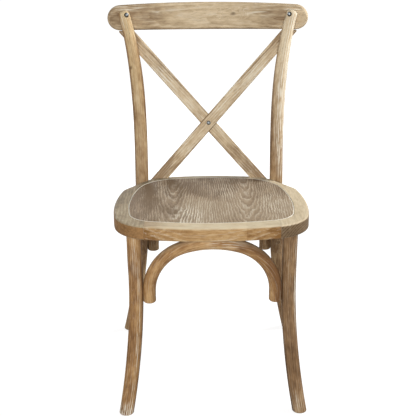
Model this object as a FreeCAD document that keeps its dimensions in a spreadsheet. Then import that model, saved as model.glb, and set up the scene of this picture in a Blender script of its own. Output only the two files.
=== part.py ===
import FreeCAD, Part
import math
import os

import Sketcher

# Cross back dining chair in oak, in millimetres.
# The chair faces -Y, +Z is up and the floor is at Z = 0.
# Left and right are as seen from the front, so that +X is to the right.
# The origin is on the floor, in the middle of the chair's overall width and depth.

Vector = FreeCAD.Vector
Rotation = FreeCAD.Rotation
Placement = FreeCAD.Placement
UP = Vector(0, 0, 1)

doc = FreeCAD.newDocument("cross_back_chair")

# Driving dimensions

SIZES = [
    # seat
    ("seat_height", 453.0, "top of the seat above the floor"),
    ("seat_thickness", 31.0, "thickness of the seat rim"),
    ("seat_half_width", 228.0, "half of the seat's greatest width"),
    ("seat_front_edge", -246.5, "front edge of the seat"),
    ("seat_rear_edge", 172.0, "rear edge of the seat"),
    ("seat_widest_place", -71.0, "where the seat is widest"),
    ("seat_front_radius", 700.0, "plan radius of the front edge"),
    ("seat_front_corner_radius", 95.0, "plan radius of the front corners"),
    ("seat_side_radius", 560.0, "plan radius of the sides"),
    ("seat_rear_corner_radius", 150.0, "plan radius of the rear corners"),
    ("seat_rear_radius", 650.0, "plan radius of the rear edge"),
    ("rim_top_rounding", 6.0, "rounding of the rim's upper edge"),
    ("rim_bottom_rounding", 4.0, "rounding of the rim's lower edge"),
    ("rim_side_width", 34.0, "rim width beside the panel"),
    ("rim_front_width", 38.0, "rim width in front of the panel"),
    ("rim_rear_width", 21.0, "rim width behind the panel"),
    ("panel_front_radius", 600.0, "plan radius of the panel's front edge"),
    ("panel_front_corner_radius", 62.0, "plan radius of the panel's front corners"),
    ("panel_side_radius", 520.0, "plan radius of the panel's sides"),
    ("panel_rear_corner_radius", 105.0, "plan radius of the panel's rear corners"),
    ("panel_rear_radius", 620.0, "plan radius of the panel's rear edge"),
    ("panel_thickness", 9.0, "thickness of the seat panel"),
    ("panel_gap", 0.4, "gap round the panel"),
    ("panel_edge_chamfer", 1.8, "chamfer along the groove round the panel"),
    ("panel_ledge", 15.0, "width of the ledge that carries the panel"),
    ("front_joint_place", 152.0, "rim joints at the front, from the centre plane"),
    ("rear_joint_place", 100.0, "rim joints at the rear, from the centre plane"),
    # front legs
    ("front_leg_top_x", 176.7, "front leg centre at the seat"),
    ("front_leg_top_y", -189.0, "front leg centre at the seat"),
    ("front_leg_knee_x", 174.0, "front leg centre where it is narrowest"),
    ("front_leg_knee_y", -202.0, "front leg centre where it is narrowest"),
    ("front_leg_knee_z", 285.0, "height where the front legs are narrowest"),
    ("front_leg_shin_x", 184.0, "front leg centre at the shin"),
    ("front_leg_shin_y", -221.0, "front leg centre at the shin"),
    ("front_leg_shin_z", 122.0, "height of the shin"),
    ("front_foot_x", 202.5, "front foot centre on the floor"),
    ("front_foot_y", -243.5, "front foot centre on the floor"),
    ("front_leg_top_diameter", 34.0, "front leg thickness at the seat"),
    ("front_leg_diameter", 33.0, "front leg thickness from the knee down"),
    ("tenon_diameter", 20.0, "tenon on top of each front leg"),
    ("tenon_length", 17.0, "length of that tenon"),
    # rear legs, which run on up as the back posts
    ("rear_foot_x", 220.0, "rear foot centre on the floor"),
    ("rear_foot_y", 219.0, "rear foot centre on the floor"),
    ("rear_leg_shin_x", 185.5, "rear leg centre at the shin"),
    ("rear_leg_shin_y", 169.0, "rear leg centre at the shin"),
    ("rear_leg_shin_z", 186.0, "height of the rear shin"),
    ("rear_leg_thigh_x", 173.5, "rear leg centre below the seat"),
    ("rear_leg_thigh_y", 144.5, "rear leg centre below the seat"),
    ("rear_leg_thigh_z", 325.0, "height of the rear thigh"),
    ("post_x", 171.5, "post centre at the seat"),
    ("post_y", 135.0, "post centre at the seat"),
    ("post_waist_x", 172.0, "post centre above the seat"),
    ("post_waist_y", 147.5, "post centre above the seat"),
    ("post_waist_rise", 107.0, "height of the post's waist above the seat"),
    ("post_shoulder_x", 180.0, "post centre at the shoulder"),
    ("post_shoulder_y", 171.0, "post centre at the shoulder"),
    ("post_shoulder_drop", 181.5, "shoulder below the chair's top"),
    ("post_tip_x", 211.5, "post centre at the tip"),
    ("post_tip_y", 203.0, "post centre at the tip"),
    ("post_tip_drop", 16.5, "tip below the chair's top"),
    ("rear_foot_diameter", 30.0, "rear leg thickness at the floor"),
    ("post_diameter", 33.0, "rear leg and post thickness"),
    ("post_tip_diameter", 27.0, "post thickness at the tip"),
    ("post_tip_rounding", 9.0, "rounding of the post's tip"),
    ("foot_rounding", 3.0, "rounding round each sole"),
    ("post_housing", 2.0, "how deep the posts sit in the seat's rear corners"),
    ("corner_flat_angle", 33.4, "direction in which the rear corner flats face, from +X"),
    # crest rail
    ("overall_height", 887.5, "top of the crest rail above the floor"),
    ("crest_height", 68.0, "height of the crest rail in the middle"),
    ("crest_thickness", 22.0, "thickness of the crest rail"),
    ("crest_back", 260.0, "rearmost point of the crest rail"),
    ("crest_bow_radius", 795.0, "plan radius of the crest rail's middle line"),
    ("crest_end_radius", 31.0, "radius of the crest rail's ends, seen from the front"),
    ("crest_top_radius", 6950.0, "very flat curve of the crest rail's top edge"),
    ("crest_bottom_radius", 9700.0, "very flat curve of the crest rail's bottom edge"),
    ("crest_edge_rounding", 8.0, "rounding of the crest rail's edges"),
    # crossed slats
    ("slat_low_x", 125.4, "middle of each slat at the seat's top"),
    ("slat_low_y", 149.4, "front face of the slats there"),
    ("slat_high_x", 205.2, "middle of each slat at its upper end"),
    ("slat_high_y", 206.4, "front face of the slats there"),
    ("slat_width", 30.5, "width of each slat"),
    ("slat_thickness", 11.0, "thickness of each slat"),
    ("slat_edge_rounding", 2.5, "rounding of the slats' edges"),
    ("slat_foot_depth", 20.1, "middle of the lower end below the seat's top"),
    ("slat_crest_gap", 0.3, "gap between the slats and the crest rail"),
    # bentwood arches
    ("arch_diameter", 29.5, "thickness of the bentwood arches"),
    ("arch_crown_radius", 220.0, "radius of the arches at the crown"),
    ("arch_shoulder_radius", 113.0, "radius of the arches at the shoulders"),
    ("arch_end_rounding", 4.0, "rounding of the arches' ends"),
    ("arch_crown_flat", 1.0, "depth of the flat where a crown meets the seat"),
    ("front_arch_depth", 158.0, "front arch's ends below the seat"),
    ("rear_arch_depth", 165.5, "rear arch's ends below the seat"),
    ("side_arch_depth", 164.0, "side arches' ends below the seat"),
    ("front_arch_crown_y", -213.0, "front arch's centre line under the seat"),
    ("rear_arch_crown_y", 155.0, "rear arch's centre line under the seat"),
    ("side_arch_crown_x", 185.0, "side arches' centre line under the seat"),
    ("arch_bite", 0.8, "how deep the arches are coped round the legs"),
    # metal fasteners and dowels
    ("bolt_diameter", 6.0, "shank of the bolts"),
    ("bolt_head_diameter", 11.0, "domed heads of the crest and cross bolts"),
    ("bolt_head_height", 4.0, "height of those domes"),
    ("nut_diameter", 11.0, "domed cap nuts"),
    ("nut_height", 6.0, "height of the cap nuts"),
    ("spot_face_depth", 1.2, "depth of the flats cut for the rear leg bolts' heads"),
    ("crest_spot_depth", 2.4, "the same in the posts' fronts, on each crest bolt's line"),
    ("crest_nut_depth", 1.7, "the same in the crest rail's back, for the nuts"),
    ("bolt_run_out", 0.5, "how far a bolt stops short of its cap nut's end"),
    ("crest_bolt_x", 202.2, "crest bolts, from the centre plane"),
    ("crest_bolt_drop", 24.5, "crest bolts below the chair's top"),
    ("leg_bolt_length", 52.0, "length of the rear leg bolts under the head"),
    ("barrel_diameter", 10.0, "barrel nuts of the rear leg bolts"),
    ("barrel_length", 14.0, "length of those nuts"),
    ("barrel_depth", 17.0, "barrel nut centre behind the corner flat"),
    ("screw_diameter", 4.0, "wood screws"),
    ("screw_head_diameter", 8.0, "countersunk heads of the wood screws"),
    ("screw_head_height", 3.0, "height of those heads"),
    ("leg_bolt_rise", 12.0, "rear leg bolts above the rim's underside"),
    ("nut_wall", 1.5, "metal left at the end of a cap nut"),
    ("arch_end_screw_rise", 14.0, "arch end screws above the ends of the front and rear arch"),
    ("side_arch_screw_rise", 32.0, "the same for the side arches, clear of the others"),
    ("screw_recess", 1.0, "how deep the screw heads are sunk"),
    ("arch_end_screw_length", 44.0, "screws through the arches into the legs"),
    ("arch_crown_screw_length", 40.0, "screws through the crowns into the seat"),
    ("arch_crown_screw_spread", 14.0, "crown screws, from the middle of the arch"),
    ("upper_slat_screw_length", 26.0, "screws through the slats into the posts"),
    ("lower_slat_screw_length", 20.0, "screws through the slats into the seat"),
    ("upper_screw_drop", 9.0, "upper slat screws below the slat's end"),
    ("lower_screw_depth", 11.2, "lower slat screws below the seat's top"),
    ("dowel_diameter", 7.0, "dowels of the rim joints"),
    ("dowel_length", 30.0, "length of those dowels"),
    ("front_dowel_y", -219.0, "outer dowel of each front joint"),
    ("front_dowel_pitch", 14.0, "spacing of the front joint's dowels"),
    ("rear_dowel_y", 156.0, "outer dowel of each rear joint"),
    ("rear_dowel_pitch", 11.0, "spacing of the rear joint's dowels"),
    ("dowel_rise", 11.0, "dowel centres above the rim's underside"),
    ("fit", 0.15, "clearance of every wood and metal fit"),
]

sheet = doc.addObject("Spreadsheet::Sheet", "Sizes")
for row, (alias, value, note) in enumerate(SIZES, start=1):
    sheet.set(f"A{row}", alias)
    sheet.set(f"B{row}", str(value))
    sheet.setAlias(f"B{row}", alias)
    sheet.set(f"C{row}", note)
doc.recompute()


def size(alias):
    """The value of one cell of the sheet."""
    return float(sheet.get(alias))


def total(*names):
    """A sum of sizes, as its value and as a formula; a leading minus subtracts one."""
    value = 0.0
    words = ["0"]
    for name in names:
        alias = name.lstrip("-")
        sign = "-" if name.startswith("-") else "+"
        value += float(sign + "1") * size(alias)
        words.append(f"{sign} Sizes.{alias}")
    return value, " ".join(words)


# Values that follow from the driving dimensions

SEAT_BOTTOM = size("seat_height") - size("seat_thickness")
RIM_MIDDLE = size("seat_height") - size("seat_thickness") / 2
FIT = size("fit")
BELOW_FLOOR = 14.0
ABOVE_JOINT = 12.0
OVERCUT = 5.0
HEAD_ROOM = 20.0
REACH = 1200.0
SCREW_POINT_RADIUS = 0.3
SCREW_POINT_SLIMNESS = 1.5
FIND_TOLERANCE = 0.01
SEARCH_STEPS = 50

layout = doc.addObject("Spreadsheet::Sheet", "Layout")


def derive(alias, value):
    """Keeps a value that follows from the leg lines where formulas can read it."""
    row = derive.rows = derive.rows + 1
    layout.set(f"A{row}", alias)
    layout.set(f"B{row}", repr(value))
    layout.setAlias(f"B{row}", alias)
    doc.recompute()
    return value


derive.rows = 0


# Small helpers for document objects


def bind(thing, **formulas):
    """Ties properties of a document object to formulas over the sheet."""
    for name, formula in formulas.items():
        thing.setExpression(name, formula)
    return thing


def aimed(base, direction):
    """A placement at base whose own Z axis points along direction."""
    return Placement(Vector(*base), Rotation(UP, Vector(*direction)))


def cylinder(name, base, direction, radius, height):
    """A cylinder from base along direction; radius and height are formulas."""
    rod = doc.addObject("Part::Cylinder", name)
    bind(rod, Radius=radius, Height=height)
    rod.Placement = aimed(base, direction)
    return rod


def cone(name, base, direction, radius_1, radius_2, height):
    """A cone from base along direction; its sizes are formulas."""
    taper = doc.addObject("Part::Cone", name)
    bind(taper, Radius1=radius_1, Radius2=radius_2, Height=height)
    taper.Placement = aimed(base, direction)
    return taper


def box(name, corner, length, width, height):
    """A box with its lowest corner given; used only to split or trim pieces."""
    block = doc.addObject("Part::Box", name)
    block.Length = length
    block.Width = width
    block.Height = height
    block.Placement = Placement(Vector(*corner), Rotation())
    return block


def fused(name, things):
    """One solid, or one set of cutters, from several things."""
    whole = doc.addObject("Part::MultiFuse", name)
    whole.Shapes = things
    return whole


def common(name, base, tool):
    """What base and tool share."""
    shared = doc.addObject("Part::Common", name)
    shared.Base = base
    shared.Tool = tool
    return shared


def cut(name, base, tools):
    """Base with every tool cut away."""
    rest = doc.addObject("Part::Cut", name)
    rest.Base = base
    rest.Tool = tools[0] if len(tools) == 1 else fused(name + "_cutters", tools)
    return rest


def mirrored(name, source):
    """The same piece for the other side of the chair."""
    twin = doc.addObject("Part::Mirroring", name)
    twin.Source = source
    twin.Base = (0, 0, 0)
    twin.Normal = (1, 0, 0)
    return twin


def grouped(name, things):
    """Several like solids in one node."""
    group = doc.addObject("Part::Compound", name)
    group.Links = things
    return group


def edge_numbers(shape, wanted):
    """Numbers of the edges for which wanted(edge) holds."""
    return [number for number, edge in enumerate(shape.Edges, start=1) if wanted(edge)]


def filleted(name, base, wanted, radius):
    """Base with the wanted edges rounded."""
    doc.recompute()
    numbers = edge_numbers(base.Shape, wanted)
    soft = doc.addObject("Part::Fillet", name)
    soft.Base = base
    soft.Edges = [(number, radius, radius) for number in numbers]
    return soft


# Helpers for bodies made from sketches


def body_plane(body, role):
    """One of the body's own origin planes."""
    for feature in body.Origin.OriginFeatures:
        if feature.Role == role:
            return feature
    raise ValueError(role)


def body_sketch(body, name, role):
    """A sketch on one of the body's origin planes."""
    sketch = body.newObject("Sketcher::SketchObject", name)
    sketch.AttachmentSupport = (body_plane(body, role), "")
    sketch.MapMode = "FlatFace"
    return sketch


def pin(sketch, name, dimension, formula):
    """A named dimension of a sketch, tied to a formula."""
    number = sketch.addConstraint(Sketcher.Constraint(*dimension))
    sketch.renameConstraint(number, name)
    sketch.setExpression("Constraints." + name, formula)


def arc_between(centre, radius, start, end):
    """The arc from start to end that turns anticlockwise about centre."""
    first = math.atan2(start.y - centre.y, start.x - centre.x)
    last = math.atan2(end.y - centre.y, end.x - centre.x)
    if last < first:
        last += 2 * math.pi
    circle = Part.Circle(centre, UP, radius)
    return Part.ArcOfCircle(circle, first, last)


# Seat outline: eight arcs that run smoothly into each other


def corner_centre(centre_1, radius_1, centre_2, radius_2, corner_radius, outward):
    """Centre of a corner arc that touches two larger arcs from inside."""
    reach_1 = radius_1 - corner_radius
    reach_2 = radius_2 - corner_radius
    between = centre_2 - centre_1
    distance = between.Length
    along = (reach_1**2 - reach_2**2 + distance**2) / (2 * distance)
    aside = math.sqrt(reach_1**2 - along**2)
    step = between.normalize()
    side = Vector(-step.y, step.x, 0)
    first = centre_1 + step * along + side * aside
    second = centre_1 + step * along - side * aside
    return first if (first - second).dot(outward) > 0 else second


def touch_point(big_centre, big_radius, small_centre):
    """Where a corner arc runs into the larger arc round it."""
    direction = small_centre - big_centre
    return big_centre + direction.normalize() * big_radius


def outline_sizes(kind, inset=None):
    """Value and formula of each size of an outline: the rim's, or the panel's less an inset."""
    if kind == "rim":
        return {
            "half": total("seat_half_width"),
            "front": total("seat_front_edge"),
            "rear": total("seat_rear_edge"),
            "front_radius": total("seat_front_radius"),
            "front_corner": total("seat_front_corner_radius"),
            "side_radius": total("seat_side_radius"),
            "rear_corner": total("seat_rear_corner_radius"),
            "rear_radius": total("seat_rear_radius"),
        }
    less = ["-" + inset] if inset else []
    more = [inset] if inset else []
    return {
        "half": total("seat_half_width", "-rim_side_width", *less),
        "front": total("seat_front_edge", "rim_front_width", *more),
        "rear": total("seat_rear_edge", "-rim_rear_width", *less),
        "front_radius": total("panel_front_radius", *less),
        "front_corner": total("panel_front_corner_radius", *less),
        "side_radius": total("panel_side_radius", *less),
        "rear_corner": total("panel_rear_corner_radius", *less),
        "rear_radius": total("panel_rear_radius", *less),
    }


def seat_outline(body, name, kind, inset=None):
    """A closed sketch of the seat's plan outline."""
    sketch = body_sketch(body, name, "XY_Plane")
    sizes = outline_sizes(kind, inset)
    value = {key: pair[0] for key, pair in sizes.items()}
    formula = {key: pair[1] for key, pair in sizes.items()}
    widest = size("seat_widest_place")
    front = Vector(0, value["front"] + value["front_radius"], 0)
    rear = Vector(0, value["rear"] - value["rear_radius"], 0)
    right = Vector(value["half"] - value["side_radius"], widest, 0)
    left = Vector(-right.x, widest, 0)

    def corner(big, big_key, side, key, outward):
        return corner_centre(
            big, value[big_key], side, value["side_radius"], value[key], Vector(*outward)
        )

    ring = [
        (front, "front_radius"),
        (corner(front, "front_radius", right, "front_corner", (1, -1, 0)), "front_corner"),
        (right, "side_radius"),
        (corner(rear, "rear_radius", right, "rear_corner", (1, 1, 0)), "rear_corner"),
        (rear, "rear_radius"),
        (corner(rear, "rear_radius", left, "rear_corner", (-1, 1, 0)), "rear_corner"),
        (left, "side_radius"),
        (corner(front, "front_radius", left, "front_corner", (-1, -1, 0)), "front_corner"),
    ]
    count = len(ring)
    touches = []
    for number in range(count):
        here = ring[number]
        following = ring[(number + 1) % count]
        big, small = (here, following) if number % 2 == 0 else (following, here)
        touches.append(touch_point(big[0], value[big[1]], small[0]))
    for number, (centre, key) in enumerate(ring):
        arc = arc_between(centre, value[key], touches[number - 1], touches[number])
        sketch.addGeometry(arc)
    for number in range(count):
        sketch.addConstraint(
            Sketcher.Constraint("Tangent", number, 2, (number + 1) % count, 1)
        )
    for number, (centre, key) in enumerate(ring):
        pin(sketch, f"radius_{number}", ("Radius", number, value[key]), formula[key])
    for number, label, centre, plan in (
        (0, "front_place", front, f"{formula['front']} + {formula['front_radius']}"),
        (4, "rear_place", rear, f"{formula['rear']} - ({formula['rear_radius']})"),
    ):
        sketch.addConstraint(Sketcher.Constraint("PointOnObject", number, 3, -2))
        pin(sketch, label, ("DistanceY", -1, 1, number, 3, centre.y), plan)
    for number, label, centre, sign in ((2, "right", right, ""), (6, "left", left, "-")):
        pin(
            sketch, label + "_place", ("DistanceY", -1, 1, number, 3, widest),
            "Sizes.seat_widest_place",
        )
        pin(
            sketch, label + "_width", ("DistanceX", -1, 1, number, 3, centre.x),
            f"{sign}({formula['half']} - ({formula['side_radius']}))",
        )
    return sketch


def level_edges(shape, level):
    """Names of the edges that lie flat at a level."""
    def lies_there(edge):
        bounds = edge.BoundBox
        return bounds.ZLength < FIND_TOLERANCE and abs(bounds.ZMin - level) < FIND_TOLERANCE

    return [f"Edge{number}" for number in edge_numbers(shape, lies_there)]


def rounded_at(body, base, name, level, radius):
    """Rounds every edge of a body's last feature that lies at a level."""
    doc.recompute()
    rounding = body.newObject("PartDesign::Fillet", name)
    rounding.Base = (base, level_edges(base.Shape, level))
    bind(rounding, Radius=radius)
    doc.recompute()
    return rounding


def seat_rim_blank():
    """The rim as one ring with the panel's rebate, before it is split into rails."""
    body = doc.addObject("PartDesign::Body", "seat_rim_blank")
    slab = body.newObject("PartDesign::Pad", "rim_slab")
    slab.Profile = seat_outline(body, "rim_outline", "rim")
    bind(slab, Length="Sizes.seat_thickness")
    top = rounded_at(body, slab, "rim_top", size("seat_thickness"), "Sizes.rim_top_rounding")
    rounded_at(body, top, "rim_bottom", 0.0, "Sizes.rim_bottom_rounding")
    rebate = body.newObject("PartDesign::Pocket", "panel_rebate")
    rebate.Profile = seat_outline(body, "rebate_outline", "panel")
    rebate.Profile[0].setExpression(
        "AttachmentOffset.Base.z", "Sizes.seat_thickness - Sizes.panel_thickness"
    )
    rebate.Reversed = True
    bind(rebate, Length="Sizes.panel_thickness + 1")
    doc.recompute()
    opening = body.newObject("PartDesign::Pocket", "seat_opening")
    opening.Profile = seat_outline(body, "opening_outline", "panel", "panel_ledge")
    opening.Type = "ThroughAll"
    opening.Reversed = True
    body.Placement = Placement(Vector(0, 0, SEAT_BOTTOM), Rotation())
    doc.recompute()
    return body


def seat_panel():
    """The flat veneered panel, set in the rim's rebate."""
    body = doc.addObject("PartDesign::Body", "seat_panel")
    pad = body.newObject("PartDesign::Pad", "panel_slab")
    pad.Profile = seat_outline(body, "panel_outline", "panel", "panel_gap")
    bind(pad, Length="Sizes.panel_thickness")
    doc.recompute()
    chamfer = body.newObject("PartDesign::Chamfer", "panel_edge")
    chamfer.Base = (pad, level_edges(pad.Shape, size("panel_thickness")))
    bind(chamfer, Size="Sizes.panel_edge_chamfer")
    body.Placement = Placement(
        Vector(0, 0, size("seat_height") - size("panel_thickness")), Rotation()
    )
    return body


# Bent, tapering legs: a smooth loft of circles along a smooth centre line


def centre_line(points):
    """A smooth curve through the given points."""
    curve = Part.BSplineCurve()
    curve.interpolate([Vector(*point) for point in points])
    return curve


def thickness_at(height, stops):
    """Leg thickness at a height, from a list of (height, thickness) stops."""
    if height <= stops[0][0]:
        return stops[0][1]
    for (low, thin), (high, thick) in zip(stops, stops[1:]):
        if height <= high:
            return thin + (thick - thin) * (height - low) / (high - low)
    return stops[-1][1]


def bent_rod(name, points, stops, grow=0.0):
    """A leg as one solid: circles square to the centre line, lofted smoothly.

    Three circles share each stretch between two points of the line.
    """
    curve = centre_line(points)
    stretches = 3 * (len(points) - 1)
    step = (curve.LastParameter - curve.FirstParameter) / stretches
    wires = []
    for number in range(stretches + 1):
        where = curve.FirstParameter + step * number
        centre = curve.value(where)
        radius = thickness_at(centre.z, stops) / 2 + grow
        circle = Part.makeCircle(radius, centre, curve.tangent(where)[0])
        wires.append(Part.Wire([circle]))
    rod = doc.addObject("Part::Feature", name)
    rod.Shape = Part.makeLoft(wires, True, False)
    rod.Placement = Placement()
    return rod


def below_floor(point, neighbour):
    """The centre line run on below the floor, so that the sole can be cut flat."""
    here, above = Vector(*point), Vector(*neighbour)
    slope = (here - above) * (1 / (above.z - here.z))
    return tuple(here + slope * BELOW_FLOOR)


FRONT_LEG_POINTS = [
    (size("front_foot_x"), size("front_foot_y"), 0.0),
    (size("front_leg_shin_x"), size("front_leg_shin_y"), size("front_leg_shin_z")),
    (size("front_leg_knee_x"), size("front_leg_knee_y"), size("front_leg_knee_z")),
    (size("front_leg_top_x"), size("front_leg_top_y"), SEAT_BOTTOM),
]
FRONT_LEG_STOPS = [
    (0.0, size("front_leg_diameter")),
    (size("front_leg_knee_z"), size("front_leg_diameter")),
    (SEAT_BOTTOM, size("front_leg_top_diameter")),
]
WAIST_HEIGHT = size("seat_height") + size("post_waist_rise")
SHOULDER_HEIGHT = size("overall_height") - size("post_shoulder_drop")
TIP_HEIGHT = size("overall_height") - size("post_tip_drop")
REAR_LEG_POINTS = [
    (size("rear_foot_x"), size("rear_foot_y"), 0.0),
    (size("rear_leg_shin_x"), size("rear_leg_shin_y"), size("rear_leg_shin_z")),
    (size("rear_leg_thigh_x"), size("rear_leg_thigh_y"), size("rear_leg_thigh_z")),
    (size("post_x"), size("post_y"), RIM_MIDDLE),
    (size("post_waist_x"), size("post_waist_y"), WAIST_HEIGHT),
    (size("post_shoulder_x"), size("post_shoulder_y"), SHOULDER_HEIGHT),
    (size("post_tip_x"), size("post_tip_y"), TIP_HEIGHT),
]
REAR_LEG_STOPS = [
    (0.0, size("rear_foot_diameter")),
    (size("rear_leg_thigh_z"), size("post_diameter")),
    (SHOULDER_HEIGHT, size("post_diameter")),
    (TIP_HEIGHT, size("post_tip_diameter")),
]


def leg_centre(points, height):
    """The point of a leg's centre line at a height."""
    curve = centre_line(points)
    low, high = curve.FirstParameter, curve.LastParameter
    for step in range(SEARCH_STEPS):
        middle = (low + high) / 2
        if curve.value(middle).z < height:
            low = middle
        else:
            high = middle
    return curve.value(low)


def rod_tip(rod, name, rounding):
    """Rounds the upper end of a rear leg."""
    tip = Vector(*REAR_LEG_POINTS[-1])

    def round_the_tip(edge):
        return edge.CenterOfMass.distanceToPoint(tip) < 1

    return filleted(name, rod, round_the_tip, rounding)


def front_leg_rod(name, grow=0.0):
    """The right front leg before its ends are cut, or the space that it fills."""
    points = [below_floor(FRONT_LEG_POINTS[0], FRONT_LEG_POINTS[1])] + FRONT_LEG_POINTS[1:]
    top = Vector(*points[-1])
    slope = (top - Vector(*points[-2])) * (1 / (points[-1][2] - points[-2][2]))
    points.append(tuple(top + slope * ABOVE_JOINT))
    return bent_rod(name, points, FRONT_LEG_STOPS, grow)


def rear_leg_rod(name, grow=0.0):
    """The right rear leg and post before its sole is cut, or the space that it fills."""
    points = [below_floor(REAR_LEG_POINTS[0], REAR_LEG_POINTS[1])] + REAR_LEG_POINTS[1:]
    rod = bent_rod(name + "_rod", points, REAR_LEG_STOPS, grow)
    return rod_tip(rod, name, size("post_tip_rounding") + grow)


def slab(name, low, high):
    """Everything between two levels."""
    return box(name, (-REACH / 2, -REACH / 2, low), REACH, REACH, high - low)


def lies_on_floor(edge):
    """Whether an edge is part of a sole."""
    return edge.BoundBox.ZMax < FIND_TOLERANCE


# Fasteners, each with the hole that it needs


def wood_screw(name, base, direction, length, grow=0.0):
    """A countersunk wood screw with its head's face at base, or the hole for it."""
    aim = Vector(*direction).normalize()
    head_height = size("screw_head_height")
    point_height = SCREW_POINT_SLIMNESS * size("screw_diameter")
    core = f"Sizes.screw_diameter / 2 + {grow}"
    head = f"Sizes.screw_head_diameter / 2 + {grow}"
    point = f"{SCREW_POINT_RADIUS + grow}"
    pieces = [
        cone(name + "_head", base, aim, head, core, "Sizes.screw_head_height"),
        cylinder(
            name + "_shank", base + aim * head_height, aim, core,
            f"{length - head_height - point_height}",
        ),
        cone(
            name + "_point", base + aim * (length - point_height), aim, core, point,
            f"{point_height}",
        ),
    ]
    if grow:
        pieces.append(cylinder(name + "_mouth", base, aim * -1, head, f"{HEAD_ROOM}"))
    return fused(name, pieces)


def dome(name, base, direction, radius, height):
    """A shallow dome of a given base radius and height, standing on base."""
    ball = (radius**2 + height**2) / (2 * height)
    cap = doc.addObject("Part::Sphere", name)
    cap.Radius = ball
    cap.Angle1 = math.degrees(math.asin((ball - height) / ball))
    cap.Angle2 = 90
    cap.Placement = aimed(base - direction * (ball - height), direction)
    return cap


def domed_bolt(name, base, direction, length):
    """A bolt with its domed head seated at base and its shank running along direction."""
    shank = cylinder(name + "_shank", base, direction, "Sizes.bolt_diameter / 2", f"{length}")
    head = dome(
        name + "_head", base, direction * -1,
        size("bolt_head_diameter") / 2, size("bolt_head_height"),
    )
    return fused(name, [shank, head])


def bolt_hole(name, base, direction, length):
    """The hole and spot face for that bolt."""
    bore = "Sizes.bolt_diameter / 2 + Sizes.fit"
    spot = "Sizes.bolt_head_diameter / 2 + Sizes.fit"
    return fused(name, [
        cylinder(name + "_bore", base, direction, bore, f"{length + FIT}"),
        cylinder(name + "_spot", base, direction * -1, spot, f"{HEAD_ROOM}"),
    ])


def cap_nut(name, base, direction):
    """A six-sided cap nut seated at base and bored for its bolt."""
    collar = doc.addObject("Part::Prism", name + "_collar")
    collar.Polygon = 6
    bind(collar, Circumradius="Sizes.nut_diameter / 2", Height="Sizes.nut_height / 2")
    collar.Placement = aimed(base, direction)
    collar_height = size("nut_height") / 2
    flats_radius = size("nut_diameter") / 2 * math.cos(math.pi / 6)
    top = dome(name + "_dome", base + direction * collar_height, direction,
               flats_radius, collar_height)
    bore = cylinder(name + "_bore", base, direction, "Sizes.bolt_diameter / 2 + Sizes.fit",
                    "Sizes.nut_height - Sizes.nut_wall")
    return cut(name, fused(name + "_solid", [collar, top]), [bore])


def nut_seat(name, base, direction):
    """The flat that is cut for a cap nut."""
    radius = "Sizes.nut_diameter / 2 + Sizes.fit"
    return cylinder(name, base, direction, radius, f"{HEAD_ROOM}")


def both_sides(name, things):
    """One node with the right-hand pieces and their left-hand twins."""
    twins = [mirrored(thing.Name + "_left", thing) for thing in things]
    return grouped(name, things + twins)


# Bentwood arches


def arch_body(name, half_span, height, placement):
    """A bentwood arch in its own frame: X along the span, Z up from its ends."""
    body = doc.addObject("PartDesign::Body", name + "_bent")
    radius = size("arch_diameter") / 2
    crown_radius = size("arch_crown_radius")
    shoulder = size("arch_shoulder_radius")
    crown_z = height - crown_radius
    shoulder_x = half_span - shoulder
    shoulder_z = crown_z + math.sqrt((crown_radius - shoulder)**2 - shoulder_x**2)
    crown = Vector(0, crown_z, 0)
    right = Vector(shoulder_x, shoulder_z, 0)
    left = Vector(-shoulder_x, shoulder_z, 0)
    touch_right = touch_point(crown, crown_radius, right)
    touch_left = touch_point(crown, crown_radius, left)
    spring_right = Vector(half_span, shoulder_z, 0)
    spring_left = Vector(-half_span, shoulder_z, 0)
    path = body_sketch(body, name + "_path", "XZ_Plane")
    path.addGeometry(Part.LineSegment(Vector(half_span, 0, 0), spring_right))
    path.addGeometry(arc_between(right, shoulder, spring_right, touch_right))
    path.addGeometry(arc_between(crown, crown_radius, touch_right, touch_left))
    path.addGeometry(arc_between(left, shoulder, touch_left, spring_left))
    path.addGeometry(Part.LineSegment(spring_left, Vector(-half_span, 0, 0)))
    for number in range(4):
        path.addConstraint(Sketcher.Constraint("Tangent", number, 2, number + 1, 1))
    for number in (0, 4):
        path.addConstraint(Sketcher.Constraint("Vertical", number))
    path.addConstraint(Sketcher.Constraint("PointOnObject", 2, 3, -2))
    path.addConstraint(Sketcher.Constraint("PointOnObject", 0, 1, -1))
    path.addConstraint(Sketcher.Constraint("PointOnObject", 4, 2, -1))
    pin(path, "right_radius", ("Radius", 1, shoulder), "Sizes.arch_shoulder_radius")
    pin(path, "left_radius", ("Radius", 3, shoulder), "Sizes.arch_shoulder_radius")
    pin(path, "crown_radius", ("Radius", 2, crown_radius), "Sizes.arch_crown_radius")
    pin(path, "half_span", ("DistanceX", -1, 1, 0, 1, half_span), f"Layout.{name}_half_span")
    pin(
        path, "crown_place", ("DistanceY", -1, 1, 2, 3, crown_z),
        f"Layout.{name}_height - Sizes.arch_crown_radius",
    )
    profile = body_sketch(body, name + "_profile", "XY_Plane")
    profile.addGeometry(Part.Circle(Vector(half_span, 0, 0), UP, radius))
    profile.addConstraint(Sketcher.Constraint("PointOnObject", 0, 3, -1))
    pin(profile, "thickness", ("Diameter", 0, 2 * radius), "Sizes.arch_diameter")
    pin(
        profile, "place", ("DistanceX", -1, 1, 0, 3, half_span),
        f"Layout.{name}_half_span",
    )
    doc.recompute()
    rod = body.newObject("PartDesign::AdditivePipe", name + "_rod")
    rod.Profile = profile
    rod.Spine = (path, [f"Edge{number}" for number in range(1, 6)])
    rounded_at(body, rod, name + "_ends", 0.0, "Sizes.arch_end_rounding")
    body.Placement = placement
    return body


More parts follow.
